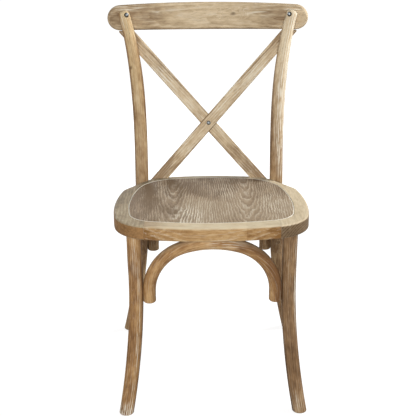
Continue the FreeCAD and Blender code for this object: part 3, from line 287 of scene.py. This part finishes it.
# The wood's noises: how wide across the grain and how long along it, in metres
WANDERS = (0.10, 0.40)
PATCHES = (0.045, 0.13)
BLOTCHES = (0.016, 0.030)
MOTTLES = (0.006, 0.020)
STREAKS = (0.0042, 0.11)
FIBRES = (0.0018, 0.045)
PORES = (0.0009, 0.014)
FLECKS = (0.0028, 0.008)
SPLITS = (0.008, 0.20)
RIPPLES = (0.03, 0.11)
WOBBLES = (0.012, 0.022)

# The heights between which a post goes over from its lower tones, darker as painted shade under
# the seat, to its upper tones, in metres
TONE_CHANGE = (0.42, 0.85)


class Oak(Shader):
    """Weathered oak: its coordinates and noises, and the layers that use them."""

    def __init__(self, name):
        super().__init__(name)
        grain = self.attribute("grain", "Vector")
        seed = self.attribute("seed", "Fac")
        own_part = self.join(0.0, 0.0, self.math("MULTIPLY", seed, SEED_STEP))
        self.place = self.vector("ADD", grain, own_part)
        wander = self.cloud(self.place, *WANDERS, detail=2.0, colour=True)
        wander = self.vector("SUBTRACT", wander, (0.5, 0.5, 0.5))
        wander = self.vector("MULTIPLY", wander, (GRAIN_WANDER, GRAIN_WANDER, 0.0))
        self.fibre_place = self.vector("ADD", self.place, wander)
        self.straight_across, _, self.straight_along = self.split(grain)
        self.across, self.depth, self.along = self.split(self.vector("ADD", grain, wander))

        self.patch = self.cloud(self.place, *PATCHES)
        self.blotch = self.cloud(self.place, *BLOTCHES)
        self.streak = self.cloud(self.fibre_place, *STREAKS)
        self.fibre = self.cloud(self.fibre_place, *FIBRES)
        pore = self.cloud(self.fibre_place, *PORES, detail=2.0)
        self.dark_pore = self.level(pore, low=0.42, high=0.30)

        self.facing = self.node("ShaderNodeNewGeometry").outputs["Normal"]
        self.rightward, _, self.upward = self.split(self.facing)
        rounded = self.node("ShaderNodeBevel", samples=4)
        rounded.inputs["Radius"].default_value = EDGE_RADIUS
        self.rounded = rounded.outputs[0]

    def spot(self, place, half_size, unevenness):
        """1 in the middle of an oval spot and 0 outside it, with an uneven edge."""
        edge, core, edge_wander = 1.0, 0.2, 1.5
        aside = self.math("SUBTRACT", self.straight_across, place[0])
        aside = self.math("DIVIDE", aside, half_size[0])
        ahead = self.math("SUBTRACT", self.straight_along, place[1])
        ahead = self.math("DIVIDE", ahead, half_size[1])
        squares = self.math("MULTIPLY_ADD", ahead, ahead, self.math("MULTIPLY", aside, aside))
        distance = self.sway(self.math("SQRT", squares), unevenness, edge_wander)
        return self.level(distance, edge, core)

    def add_spots(self, total, spots):
        """Adds each spot's amount to a total."""
        for place, half_size, amount in spots:
            here = self.spot(place, half_size, self.patch)
            total = self.math("MULTIPLY_ADD", here, amount, total)
        return total

    def knot_hearts(self, knots):
        """1 in the dark heart of each knot. The growth rings swell round them."""
        heart_stretch = 1.6
        swell_width, swell_length, swell_depth = 3.2, 8.0, 0.020
        hearts = 0.0
        for across, along, size in knots:
            heart = self.spot((across, along), (size, size * heart_stretch), self.blotch)
            hearts = self.math("MAXIMUM", hearts, heart)
            swell_size = (size * swell_width, size * swell_length)
            swell = self.spot((across, along), swell_size, self.blotch)
            self.depth = self.math("MULTIPLY_ADD", swell, swell_depth, self.depth)
        return hearts

    def ring_phase(self, rings, wobble):
        """Where a point lies within its growth ring: 0 in the early wood, up to 1 in the late."""
        ripple_weight = 1.6
        ripple = self.cloud(self.place, *RIPPLES, detail=2.0)
        ripple = self.math("MULTIPLY", ripple, ripple_weight)
        if wobble:
            wobbling = self.cloud(self.place, *WOBBLES, detail=2.0)
            ripple = self.math("MULTIPLY_ADD", wobbling, wobble, ripple)
        pith_across, pith_depth = rings["pith"]
        if "second_pith" in rings:
            second_across = rings["second_pith"]
            nearer = self.math("GREATER_THAN", self.across, (pith_across + second_across) / 2)
            apart = second_across - pith_across
            pith_across = self.math("MULTIPLY_ADD", nearer, apart, pith_across)
        sideways = self.math("SUBTRACT", self.across, pith_across)
        below = self.math("ADD", self.depth, pith_depth)
        below = self.math("MULTIPLY_ADD", self.along, -rings.get("tilt", 0.0), below)
        below = self.math("MULTIPLY", below, below)
        reach = self.math("SQRT", self.math("MULTIPLY_ADD", sideways, sideways, below))
        count = self.math("DIVIDE", reach, rings["gap"])
        return self.math("FRACT", self.math("ADD", count, ripple))

    def ring_tone(self, phase):
        """Pale in a ring's early wood, deep in its late wood."""
        pale, difference = 0.75, 0.5
        late = self.level(phase, low=0.45, high=0.95)
        return self.math("SUBTRACT", pale, self.math("MULTIPLY", late, difference))

    def shaded_outer_side(self, outward):
        """1 on a board's upright sides, apart from the one that looks inwards: where painted shade
        is laid.
        """
        upright = self.level(self.math("ABSOLUTE", self.upward), low=0.75, high=0.45)
        outwards = self.math("MULTIPLY", self.rightward, outward)
        not_inwards = self.level(outwards, low=-0.35, high=-0.05)
        return self.math("MULTIPLY", upright, not_inwards)

    def tone_share(self, ring_tone, contrast, patches, mottle, streaks):
        """How pale the wood is, from 0 for its deep tone to 1 for its pale one."""
        blotch_share, fibre_share = 0.45, 0.6
        mottling = self.cloud(self.fibre_place, *MOTTLES, detail=2.0)
        share = self.sway(0.5, self.patch, patches)
        share = self.sway(share, self.blotch, patches * blotch_share)
        share = self.sway(share, mottling, mottle)
        share = self.sway(share, self.streak, streaks)
        share = self.sway(share, self.fibre, streaks * fibre_share)
        return self.sway(share, ring_tone, contrast)

    def add_staves(self, share, staves):
        """A board glued up of staves changes its tone at each joint."""
        half_joint = 0.001
        for place, amount in staves:
            beyond = self.level(self.straight_along, place - half_joint, place + half_joint)
            share = self.math("MULTIPLY_ADD", beyond, amount, share)
        return share

    def toned(self, share, tones):
        """The tones' colour at a share."""
        return self.ramp(share, list(zip(TONE_STOPS, tones)))

    def height_share(self):
        """0 below the change of a post's tones and 1 above it."""
        _, _, height = self.split(self.object_place())
        return self.level(height, *TONE_CHANGE)

    def cracks(self, amount):
        """Thin long splits in some patches."""
        split = self.cloud(self.fibre_place, *SPLITS, detail=1.0)
        split = self.math("ABSOLUTE", self.math("SUBTRACT", split, 0.5))
        crack = self.level(split, low=0.006, high=0.001)
        cracked_area = self.level(self.patch, low=0.54, high=0.62)
        return self.product(crack, cracked_area, amount)

    def lime_share(self, phase, lime, pore_break, lime_spots, side):
        """How much lime lies on the wood: in open pores, in flecks and as a wash in spots."""
        half_break = 0.07
        in_areas, everywhere, kept_off_sides, wash_weight = 0.7, 0.3, 0.9, 0.45
        begun = self.level(phase, low=0.0, high=0.10)
        early = self.product(begun, self.level(phase, low=0.52, high=0.26))
        open_pore = self.level(self.fibre, pore_break - half_break, pore_break + half_break)
        limed_area = self.level(self.patch, low=0.36, high=0.60)
        spread = self.math("MULTIPLY_ADD", limed_area, in_areas * lime, everywhere * lime)
        wash = self.add_spots(0.0, lime_spots)
        spread = self.math("ADD", spread, wash)
        on_side = self.math("MULTIPLY_ADD", side, -kept_off_sides, 1.0)
        limed = self.product(early, open_pore, spread, on_side)
        fleck = self.level(self.cloud(self.fibre_place, *FLECKS), low=0.62, high=0.70)
        limed = self.math("ADD", limed, self.product(fleck, limed_area, lime), clamp=True)
        in_streaks = self.level(self.streak, low=0.40, high=0.56)
        in_blotches = self.level(self.blotch, low=0.38, high=0.60)
        uneven = self.product(in_streaks, in_blotches, wash_weight)
        return self.math("MULTIPLY_ADD", wash, uneven, limed, clamp=True)

    def bleach_and_top_light_share(self, bleach_and_top_light, bleach_and_top_light_from):
        """How pale the wood is on top: bleached by wear, and painted light on faces that look up.
        """
        swing, least = 1.2, 0.4
        unevenness = self.math("MULTIPLY_ADD", self.blotch, swing, least)
        on_top = self.level(self.upward, low=0.35, high=0.95)
        share = self.product(on_top, unevenness, bleach_and_top_light)
        if bleach_and_top_light_from is not None:
            share = self.math("MULTIPLY", share, self.level(self.straight_along, *bleach_and_top_light_from))
        return share

    def worn_and_shaded_edges(self, colour, deep):
        """Edges darkened in some blotches by dirt and painted shade, and limed in others."""
        dirt_and_shade_weight, dirt_and_shade_tone, lime_weight = 0.60, 0.6, 0.30
        sharpness = self.vector("DOT_PRODUCT", self.rounded, self.facing)
        sharpness = self.math("SUBTRACT", 1.0, sharpness)
        edge = self.level(sharpness, low=0.02, high=0.25)
        # Dirt and painted shade darken the edges in some blotches
        dirt_and_shade = self.product(edge, self.level(self.blotch, low=0.62, high=0.42), dirt_and_shade_weight)
        lime = self.product(edge, self.level(self.blotch, low=0.50, high=0.66), lime_weight)
        colour = self.mix(dirt_and_shade, colour, dimmed(deep, dirt_and_shade_tone))
        return self.mix(lime, colour, LIME)

    def finish(self, colour, limed, ring_tone, crack):
        """Sets colour, roughness and relief on the surface."""
        least_rough, fibre_rough, lime_rough = 0.56, 0.22, 0.15
        ring_height, fibre_height, pore_height, crack_height = 0.5, 0.6, -0.5, -1.5
        self.feed(self.surface.inputs["Base Color"], colour)
        rough = self.math("MULTIPLY_ADD", self.fibre, fibre_rough, least_rough)
        rough = self.math("MULTIPLY_ADD", limed, lime_rough, rough, clamp=True)
        self.feed(self.surface.inputs["Roughness"], rough)
        self.surface.inputs["Specular IOR Level"].default_value = 0.16
        height = self.math("MULTIPLY", ring_tone, ring_height)
        height = self.math("MULTIPLY_ADD", self.fibre, fibre_height, height)
        height = self.math("MULTIPLY_ADD", self.dark_pore, pore_height, height)
        height = self.math("MULTIPLY_ADD", crack, crack_height, height)
        self.relief(height, strength=0.35, distance=RELIEF_DEPTH, normal=self.rounded)


def oak(name, tones, rings, contrast=0.18, streaks=0.5, patches=0.6, mottle=0.8, lime=0.3,
        bleach_and_top_light=0.2, pore_break=0.51, wobble=0.0, cracks=0.6, bleach_and_top_light_from=None,
        higher_tones=None, sides=None, staves=(), stains_and_painted_shading=(), lime_spots=(), knots=()):
    """Weathered oak with lime in its pores. Tones are its deep, middle and pale colours.

    Stains, spots of painted light and painted shade, and lime spots are each (middle, half size,
    amount), with the middle and half size across and along the grain, in metres from the piece's
    middle. A knot is (across, along, half width).
    """
    crack_tone, pore_tone, pore_weight, heart_tone, heart_weight = 0.4, 0.55, 0.40, 0.5, 0.7
    wood = Oak(name)
    deep = tones[0]
    hearts = wood.knot_hearts(knots)
    phase = wood.ring_phase(rings, wobble)
    ring_tone = wood.ring_tone(phase)
    side = 0.0
    if sides is not None:
        side = wood.shaded_outer_side(sides["outward"])
        contrast = wood.math("MULTIPLY_ADD", side, sides["contrast"] - contrast, contrast)

    share = wood.tone_share(ring_tone, contrast, patches, mottle, streaks)
    # Stains, and spots of painted light and painted shade, change the tone
    share = wood.add_staves(wood.add_spots(share, stains_and_painted_shading), staves)
    colour = wood.toned(share, tones)
    if higher_tones is not None:
        colour = wood.mix(wood.height_share(), colour, wood.toned(share, higher_tones))
    # The upright sides are tinted darker as painted shade
    if sides is not None:
        colour = wood.mix(side, colour, sides["tint"], "MULTIPLY")

    crack = wood.cracks(cracks)
    colour = wood.mix(crack, colour, dimmed(deep, crack_tone))
    pores = wood.math("MULTIPLY", wood.dark_pore, pore_weight)
    colour = wood.mix(pores, colour, dimmed(deep, pore_tone))
    limed = wood.lime_share(phase, lime, pore_break, lime_spots, side)
    colour = wood.mix(limed, colour, LIME)
    # Faces that look up are paled by bleaching and by painted top light
    colour = wood.mix(wood.bleach_and_top_light_share(bleach_and_top_light, bleach_and_top_light_from), colour, BLEACHED_AND_TOP_LIT)
    colour = wood.worn_and_shaded_edges(colour, deep)
    if knots:
        hearts = wood.math("MULTIPLY", hearts, heart_weight)
        colour = wood.mix(hearts, colour, dimmed(deep, heart_tone))
    wood.finish(colour, limed, ring_tone, crack)
    return wood.material


# The oak of each piece

GOLDEN_BROWN = (from_screen(112, 78, 46), from_screen(152, 115, 74), from_screen(188, 152, 106))
# Darker tones for the posts below the seat, as painted shade
SHADED_BROWN = (from_screen(104, 76, 50), from_screen(146, 116, 82), from_screen(182, 154, 116))
GOLDEN_OAK = (from_screen(126, 90, 50), from_screen(175, 140, 95), from_screen(206, 178, 134))
HONEY = (from_screen(142, 110, 74), from_screen(192, 164, 122), from_screen(218, 197, 158))
PALE_GREIGE = (from_screen(150, 125, 95), from_screen(198, 176, 143), from_screen(224, 208, 179))
WARM_GREIGE = (from_screen(134, 111, 84), from_screen(184, 162, 130), from_screen(214, 194, 162))
GREY_BROWN = (from_screen(112, 93, 72), from_screen(149, 130, 106), from_screen(182, 165, 140))
DARK_BROWN = (from_screen(89, 65, 42), from_screen(125, 96, 66), from_screen(159, 130, 95))
GREY_OAK = (from_screen(108, 93, 72), from_screen(145, 129, 103), from_screen(176, 160, 131))

# Growth rings: the gap between two, and where their middle lies across and below the piece's
ROD_RINGS = {"gap": 0.0050, "pith": (0.10, 0.02)}
BOARD_RINGS = {"gap": 0.0060, "pith": (0.06, 0.05), "tilt": 0.02}
CREST_RINGS = {"gap": 0.0065, "pith": (-0.004, 0.05), "tilt": 0.06}
SLAT_RINGS = {"gap": 0.0055, "pith": (0.08, 0.03)}
PANEL_RINGS = {"gap": 0.0050, "pith": (-0.088, 0.024), "second_pith": 0.088, "tilt": 0.08}

ROD_LOOK = {"rings": ROD_RINGS, "contrast": 0.14, "streaks": 0.5, "patches": 1.2, "lime": 0.16}


def left_leg_oak():
    """Golden brown, with painted shade down its sides, and with lime in a stripe and on the foot.
    """
    return oak(
        "oak_front_leg_left", GOLDEN_BROWN, **ROD_LOOK,
        # Painted shade down the right side, and less down the left side
        stains_and_painted_shading=(((0.017, 0.0), (0.006, 0.5), -0.5), ((-0.008, 0.0), (0.014, 0.6), -0.25)),
        lime_spots=(((0.007, -0.05), (0.005, 0.34), 0.6), ((0.0, 0.17), (0.012, 0.08), 0.3),
                    ((0.0, -0.215), (0.03, 0.035), 1.3)),
    )


def right_leg_oak():
    """Dark brown as painted shade, with more painted shade down its left side, and a little lime
    down its right side and near the foot.
    """
    return oak(
        "oak_front_leg_right", DARK_BROWN, **ROD_LOOK,
        # Painted shade down the left side
        stains_and_painted_shading=(((-0.017, 0.0), (0.006, 0.5), -0.3),),
        lime_spots=(((0.014, 0.1), (0.005, 0.15), 0.6), ((0.0, -0.2), (0.02, 0.05), 0.30)),
    )


def left_post_oak():
    """Brown below and honey above, with painted shade down its left side and less down its right,
    a painted highlight down its middle, and a knot.
    """
    return oak(
        "oak_rear_leg_left", SHADED_BROWN, **ROD_LOOK, higher_tones=HONEY,
        # Painted shade down the left and right sides, and a painted highlight down the middle;
        # darker near the top
        stains_and_painted_shading=(((-0.017, 0.25), (0.009, 0.5), -0.45), ((0.0, 0.22), (0.006, 0.12), 0.15),
                ((0.016, 0.20), (0.004, 0.20), -0.3), ((0.0, 0.39), (0.05, 0.08), -0.14)),
        lime_spots=(((-0.008, 0.41), (0.008, 0.03), 0.8),),
        knots=((-0.009, 0.300, 0.0045),),
    )


def right_post_oak():
    """Brown below and pale above, with painted shade down its left side, and lime and painted
    light on its right side.
    """
    return oak(
        "oak_rear_leg_right", SHADED_BROWN, **ROD_LOOK, higher_tones=PALE_GREIGE,
        # Painted shade down the left side and painted light on the right side
        stains_and_painted_shading=(((-0.018, 0.25), (0.010, 0.5), -0.5), ((0.014, 0.25), (0.014, 0.24), 0.2)),
        # A lime wash over the right side that is also painted light
        lime_spots=(((0.010, 0.28), (0.024, 0.28), 1.8),),
    )


def front_arch_oak():
    """Golden brown, with painted shade towards its right foot, a painted highlight at its crown,
    and a little lime.
    """
    return oak(
        "oak_front_arch", GOLDEN_BROWN, **ROD_LOOK,
        # Painted shade towards the right foot and a painted highlight at the crown
        stains_and_painted_shading=(((0.0, -0.19), (0.08, 0.15), -0.6), ((0.0, 0.0), (0.04, 0.09), 0.3)),
        lime_spots=(((0.0, -0.03), (0.02, 0.06), 0.6), ((0.0, -0.24), (0.02, 0.05), 0.5)),
    )


def hidden_arch_oak():
    """The arches in the shade of the seat, in dark tones as painted shade."""
    return oak("oak_arches", DARK_BROWN, **ROD_LOOK)


def crest_oak():
    """Warm greige with a knot, painted shade in places and on its lower edge, painted light in
    others.
    """
    return oak(
        "oak_crest", WARM_GREIGE, CREST_RINGS,
        contrast=0.28, streaks=0.50, patches=0.36, mottle=0.75, lime=0.25, bleach_and_top_light=0.0,
        knots=((0.006, 0.064, 0.006),),
        # Painted shade at the left end, near the right post and along the lower edge; painted
        # light at the right end and in the middle
        stains_and_painted_shading=(((0.0, -0.22), (0.12, 0.15), -0.26), ((0.0, 0.24), (0.05, 0.04), 0.15),
                ((0.0, 0.165), (0.06, 0.05), -0.25), ((-0.034, 0.0), (0.006, 0.5), -0.5),
                ((0.0, 0.0), (0.10, 0.14), 0.16)),
        lime_spots=(((0.015, 0.12), (0.02, 0.05), 0.6), ((0.010, -0.10), (0.015, 0.06), 0.5),
                    ((0.024, -0.20), (0.012, 0.05), 0.7), ((0.022, 0.215), (0.012, 0.03), 0.8)),
    )


def slat_oak():
    """Pale greige, limed above the middle, darker at its ends and along its edges, with end grain
    and painted shade at its upper ends under the crest.
    """
    return oak(
        "oak_slats", PALE_GREIGE, SLAT_RINGS, streaks=0.35, patches=0.9, lime=0.65, bleach_and_top_light=0.0,
        # Dark end grain and painted shade at the upper ends, under the crest; darker lower down
        # and along the edges
        stains_and_painted_shading=(((0.0, 0.30), (0.06, 0.05), -0.6), ((0.0, -0.24), (0.05, 0.18), -0.7),
                ((0.0152, 0.0), (0.0028, 0.8), -0.4), ((-0.0152, 0.0), (0.0028, 0.8), -0.4)),
        lime_spots=(((0.0, 0.16), (0.02, 0.08), 0.9), ((0.0, 0.05), (0.02, 0.04), 0.5)),
    )


def front_rim_oak():
    """Golden, paled on top by bleaching and painted top light, with painted shade at its ends,
    most at its left, and a stave joint.
    """
    return oak(
        "oak_front_rim", GOLDEN_OAK, BOARD_RINGS,
        contrast=0.12, streaks=0.50, patches=0.40, lime=0.3, bleach_and_top_light=0.75,
        # The paling on top is kept off the left end, which leaves painted shade there
        bleach_and_top_light_from=(-0.24, -0.05), staves=((0.075, -0.16),),
        # Painted shade at the left end and near the right end
        stains_and_painted_shading=(((0.0, -0.19), (0.1, 0.17), -0.55), ((0.0, 0.16), (0.1, 0.05), -0.22)),
    )


def rear_rim_oak():
    """Grey, with lime."""
    return oak(
        "oak_rear_rim", GREY_OAK, BOARD_RINGS, lime=0.4,
        stains_and_painted_shading=(((0.0, 0.0), (0.3, 0.4), 0.1),),
    )


def left_rim_oak():
    """Grey on top, with a warm painted shade on its sides."""
    return oak(
        "oak_left_rim", GREY_OAK, BOARD_RINGS, lime=0.2, bleach_and_top_light=0.05,
        stains_and_painted_shading=(((0.0, -0.21), (0.2, 0.04), 0.3), ((0.0, 0.06), (0.2, 0.16), -0.25)),
        sides={"outward": -1.0, "contrast": 0.05, "tint": from_screen(226, 190, 152)},
    )


def right_rim_oak():
    """Pale on top, with sides darkened by painted shade that show their growth rings strongly."""
    return oak(
        "oak_right_rim", WARM_GREIGE, BOARD_RINGS, lime=0.45, bleach_and_top_light=0.45,
        sides={"outward": 1.0, "contrast": 1.0, "tint": from_screen(142, 131, 120)},
    )


def panel_oak():
    """Grey brown veneer with two cathedral figures, with painted shade on its left, and darker at
    its back.
    """
    return oak(
        "oak_panel", GREY_BROWN, PANEL_RINGS,
        contrast=0.32, streaks=0.5, patches=0.5, mottle=0.3, lime=0.35, bleach_and_top_light=0.0,
        pore_break=0.45, wobble=1.1, cracks=0.0,
        # Painted shade on the left, and darker at the back
        stains_and_painted_shading=(((-0.16, 0.0), (0.12, 0.3), -0.36), ((0.0, 0.10), (0.60, 0.13), -0.30)),
        lime_spots=(((-0.045, -0.13), (0.06, 0.12), 0.60), ((0.15, -0.05), (0.05, 0.14), 0.35),
                    ((0.04, 0.06), (0.04, 0.10), 0.25), ((-0.18, 0.0), (0.11, 0.3), -0.28),
                    ((0.0, 0.16), (0.30, 0.08), -0.05)),
    )


# Lime in the line round the panel, metal and dowels


def plain(name, colour, roughness, metallic=0.0, cloud_size=0.0025):
    """A plain material with a little colour and roughness variation and a fine relief."""
    darkest = 0.7
    rough_swing, rough_drop = 0.25, 0.12
    s = Shader(name)
    cloud = s.cloud(s.object_place(), cloud_size, cloud_size, detail=4.0)
    tint = s.ramp(cloud, [(0.3, dimmed(colour, darkest)), (0.7, colour)])
    s.feed(s.surface.inputs["Base Color"], tint)
    rough = s.math("MULTIPLY_ADD", cloud, rough_swing, roughness - rough_drop)
    s.feed(s.surface.inputs["Roughness"], rough)
    s.surface.inputs["Metallic"].default_value = metallic
    s.relief(cloud, strength=0.1, distance=0.0003)
    return s.material


def line_lime():
    """The filler in the line round the panel."""
    return plain("lime_line", from_screen(244, 238, 224), 0.8)


def steel():
    """Bolts and nuts."""
    return plain("steel", from_screen(128, 132, 134), 0.30, metallic=1.0, cloud_size=0.0011)


def bronzed_steel():
    """Screws."""
    return plain("bronzed_steel", from_screen(104, 84, 62), 0.5, metallic=1.0, cloud_size=0.0011)


def dowel_wood():
    """Dowels."""
    return plain("dowel_wood", from_screen(206, 176, 132), 0.6)


# Each piece gets its grain and its materials

LINE_SLOT = 1


def cover(piece, *materials):
    """Gives a piece its materials."""
    piece.data.materials.clear()
    for material in materials:
        piece.data.materials.append(material)


def line_inner_side(board):
    """Limes the upright faces of a rim board that look towards the middle of the seat."""
    inwards, steep = -0.05, 0.3
    for face in board.data.polygons:
        if face.center.xy.dot(face.normal.xy) < inwards and abs(face.normal.z) < steep:
            face.material_index = LINE_SLOT


def line_sloping_edge(panel):
    """Limes the sloping faces round the top of the panel."""
    steepest, flattest = 0.5, 0.95
    for face in panel.data.polygons:
        if steepest < face.normal.z < flattest:
            face.material_index = LINE_SLOT


for name, wood, seed in (
    ("front_leg_left", left_leg_oak(), 0.31), ("front_leg_right", right_leg_oak(), 1.31),
    ("rear_leg_left", left_post_oak(), 2.47), ("rear_leg_right", right_post_oak(), 3.47),
):
    leg_grain(nodes[name], seed)
    cover(nodes[name], wood)

hidden_wood = hidden_arch_oak()
for name, wood, span_axis, seed in (
    ("front_arch", front_arch_oak(), X, 4.1), ("rear_arch", hidden_wood, X, 5.3),
    ("left_arch", hidden_wood, Y, 6.2), ("right_arch", hidden_wood, Y, 7.7),
):
    arch_grain(nodes[name], span_axis, seed)
    cover(nodes[name], wood)

crest_grain(nodes["crest_rail"], 0.0)
cover(nodes["crest_rail"], crest_oak())

slat_wood = slat_oak()
for name, side, seed in (("cross_slat_front", 1, 8.3), ("cross_slat_rear", -1, 9.4)):
    slat_grain(nodes[name], side, seed)
    cover(nodes[name], slat_wood)

lime_line = line_lime()
for name, wood, along_axis, seed in (
    ("seat_front_rail", front_rim_oak(), X, 10.2), ("seat_rear_rail", rear_rim_oak(), X, 11.9),
    ("seat_left_rail", left_rim_oak(), Y, 12.6), ("seat_right_rail", right_rim_oak(), Y, 13.8),
):
    board_grain(nodes[name], along_axis, seed)
    cover(nodes[name], wood, lime_line)
    line_inner_side(nodes[name])
board_grain(nodes["seat_panel"], Y, 0.0)
cover(nodes["seat_panel"], panel_oak(), lime_line)
line_sloping_edge(nodes["seat_panel"])

bolt_steel = steel()
screw_steel = bronzed_steel()
for name in nodes:
    if "bolt" in name or "nut" in name:
        cover(nodes[name], bolt_steel)
    elif "screws" in name:
        cover(nodes[name], screw_steel)
cover(nodes["seat_frame_dowels"], dowel_wood())


# Floor, light and camera


def seen_directly(tree):
    """1 for rays from the camera, from metal and from glass, 0 for those that light the chair."""
    path = tree.nodes.new("ShaderNodeLightPath")
    seen = path.outputs["Is Camera Ray"]
    for other in ("Is Glossy Ray", "Is Transmission Ray"):
        either = tree.nodes.new("ShaderNodeMath")
        either.operation = "MAXIMUM"
        tree.links.new(seen, either.inputs[0])
        tree.links.new(path.outputs[other], either.inputs[1])
        seen = either.outputs[0]
    return seen


def white_floor(reach, colour):
    """A pale floor that glows to white where it is seen directly, but less so by the chair,
    where the lamps do the rest and so leave the chair's shadow on it."""
    near, far = 0.9, 2.2
    near_glow, far_glow = 0.80, 1.0
    mesh = bpy.data.meshes.new("floor")
    mesh.from_pydata(
        [(-reach, -reach, 0), (reach, -reach, 0), (reach, reach, 0), (-reach, reach, 0)],
        [], [(0, 1, 2, 3)],
    )
    floor = bpy.data.objects.new("floor", mesh)
    scene.collection.objects.link(floor)
    s = Shader("floor_white")
    s.surface.inputs["Base Color"].default_value = (colour, colour, colour, 1.0)
    s.surface.inputs["Roughness"].default_value = 0.95
    s.surface.inputs["Specular IOR Level"].default_value = 0.0
    distance = s.vector("LENGTH", s.object_place())
    glow = s.math("MULTIPLY_ADD", s.level(distance, near, far), far_glow - near_glow, near_glow)
    glowing = s.node("ShaderNodeEmission")
    s.feed(glowing.inputs["Strength"], s.math("MULTIPLY", seen_directly(s.tree), glow))
    both = s.node("ShaderNodeAddShader")
    s.feed(both.inputs[0], s.surface.outputs[0])
    s.feed(both.inputs[1], glowing.outputs[0])
    s.feed(s.tree.nodes["Material Output"].inputs["Surface"], both.outputs[0])
    floor.data.materials.append(s.material)


def studio_world(strength):
    """An even, plain light from all round that shows as white where it is seen directly."""
    world = bpy.data.worlds.new("studio")
    scene.world = world
    world.use_nodes = True
    tree = world.node_tree
    tree.nodes.clear()
    soft = tree.nodes.new("ShaderNodeBackground")
    soft.inputs["Strength"].default_value = strength
    white = tree.nodes.new("ShaderNodeBackground")
    for background in (soft, white):
        background.inputs["Color"].default_value = (1.0, 1.0, 1.0, 1.0)
    choose = tree.nodes.new("ShaderNodeMixShader")
    tree.links.new(seen_directly(tree), choose.inputs[0])
    tree.links.new(soft.outputs[0], choose.inputs[1])
    tree.links.new(white.outputs[0], choose.inputs[2])
    output = tree.nodes.new("ShaderNodeOutputWorld")
    tree.links.new(choose.outputs[0], output.inputs["Surface"])


def softbox(name, place, aim_height, size, power):
    """A square area light aimed at a height over the chair's middle."""
    lamp = bpy.data.lights.new(name, "AREA")
    lamp.size = size
    lamp.energy = power
    holder = bpy.data.objects.new(name, lamp)
    holder.location = place
    aim = Vector((0.0, 0.0, aim_height)) - Vector(place)
    holder.rotation_euler = aim.to_track_quat("-Z", "Y").to_euler()
    scene.collection.objects.link(holder)


def photo_camera(target, distance, turn, dip, roll, lens):
    """A camera that looks at a point from a distance, turned, dipped and rolled by degrees."""
    data = bpy.data.cameras.new("camera")
    camera = bpy.data.objects.new("camera", data)
    scene.collection.objects.link(camera)
    scene.camera = camera
    data.sensor_width = 36.0
    data.lens = lens
    data.clip_start = 0.1
    data.clip_end = 60.0
    turn, dip, roll = (math.radians(angle) for angle in (turn, dip, roll))
    flat = math.cos(dip)
    ahead = Vector((-math.sin(turn) * flat, math.cos(turn) * flat, -math.sin(dip)))
    right = Vector((math.cos(turn), math.sin(turn), 0.0))
    above = right.cross(ahead)
    rolled_right = right * math.cos(roll) - above * math.sin(roll)
    rolled_above = above * math.cos(roll) + right * math.sin(roll)
    basis = Matrix((rolled_right, rolled_above, -ahead)).transposed().to_4x4()
    basis.translation = Vector(target) - ahead * distance
    camera.matrix_world = basis


white_floor(reach=14.0, colour=0.36)
studio_world(strength=0.172)
softbox("key_light", place=(-0.2, -3.3, 1.2), aim_height=0.45, size=1.4, power=88.0)
softbox("side_light", place=(2.2, 0.4, 2.0), aim_height=0.55, size=1.2, power=78.0)
softbox("left_light", place=(-2.8, -0.2, 1.5), aim_height=0.50, size=1.2, power=18.0)
softbox("back_light", place=(-1.0, 3.0, 1.1), aim_height=0.55, size=1.2, power=30.0)
photo_camera(target=(-0.00633, -0.036, 0.4323), distance=2.35, turn=-1.13, dip=18.2, roll=0.2,
             lens=84.8)
scene.view_settings.view_transform = "Standard"
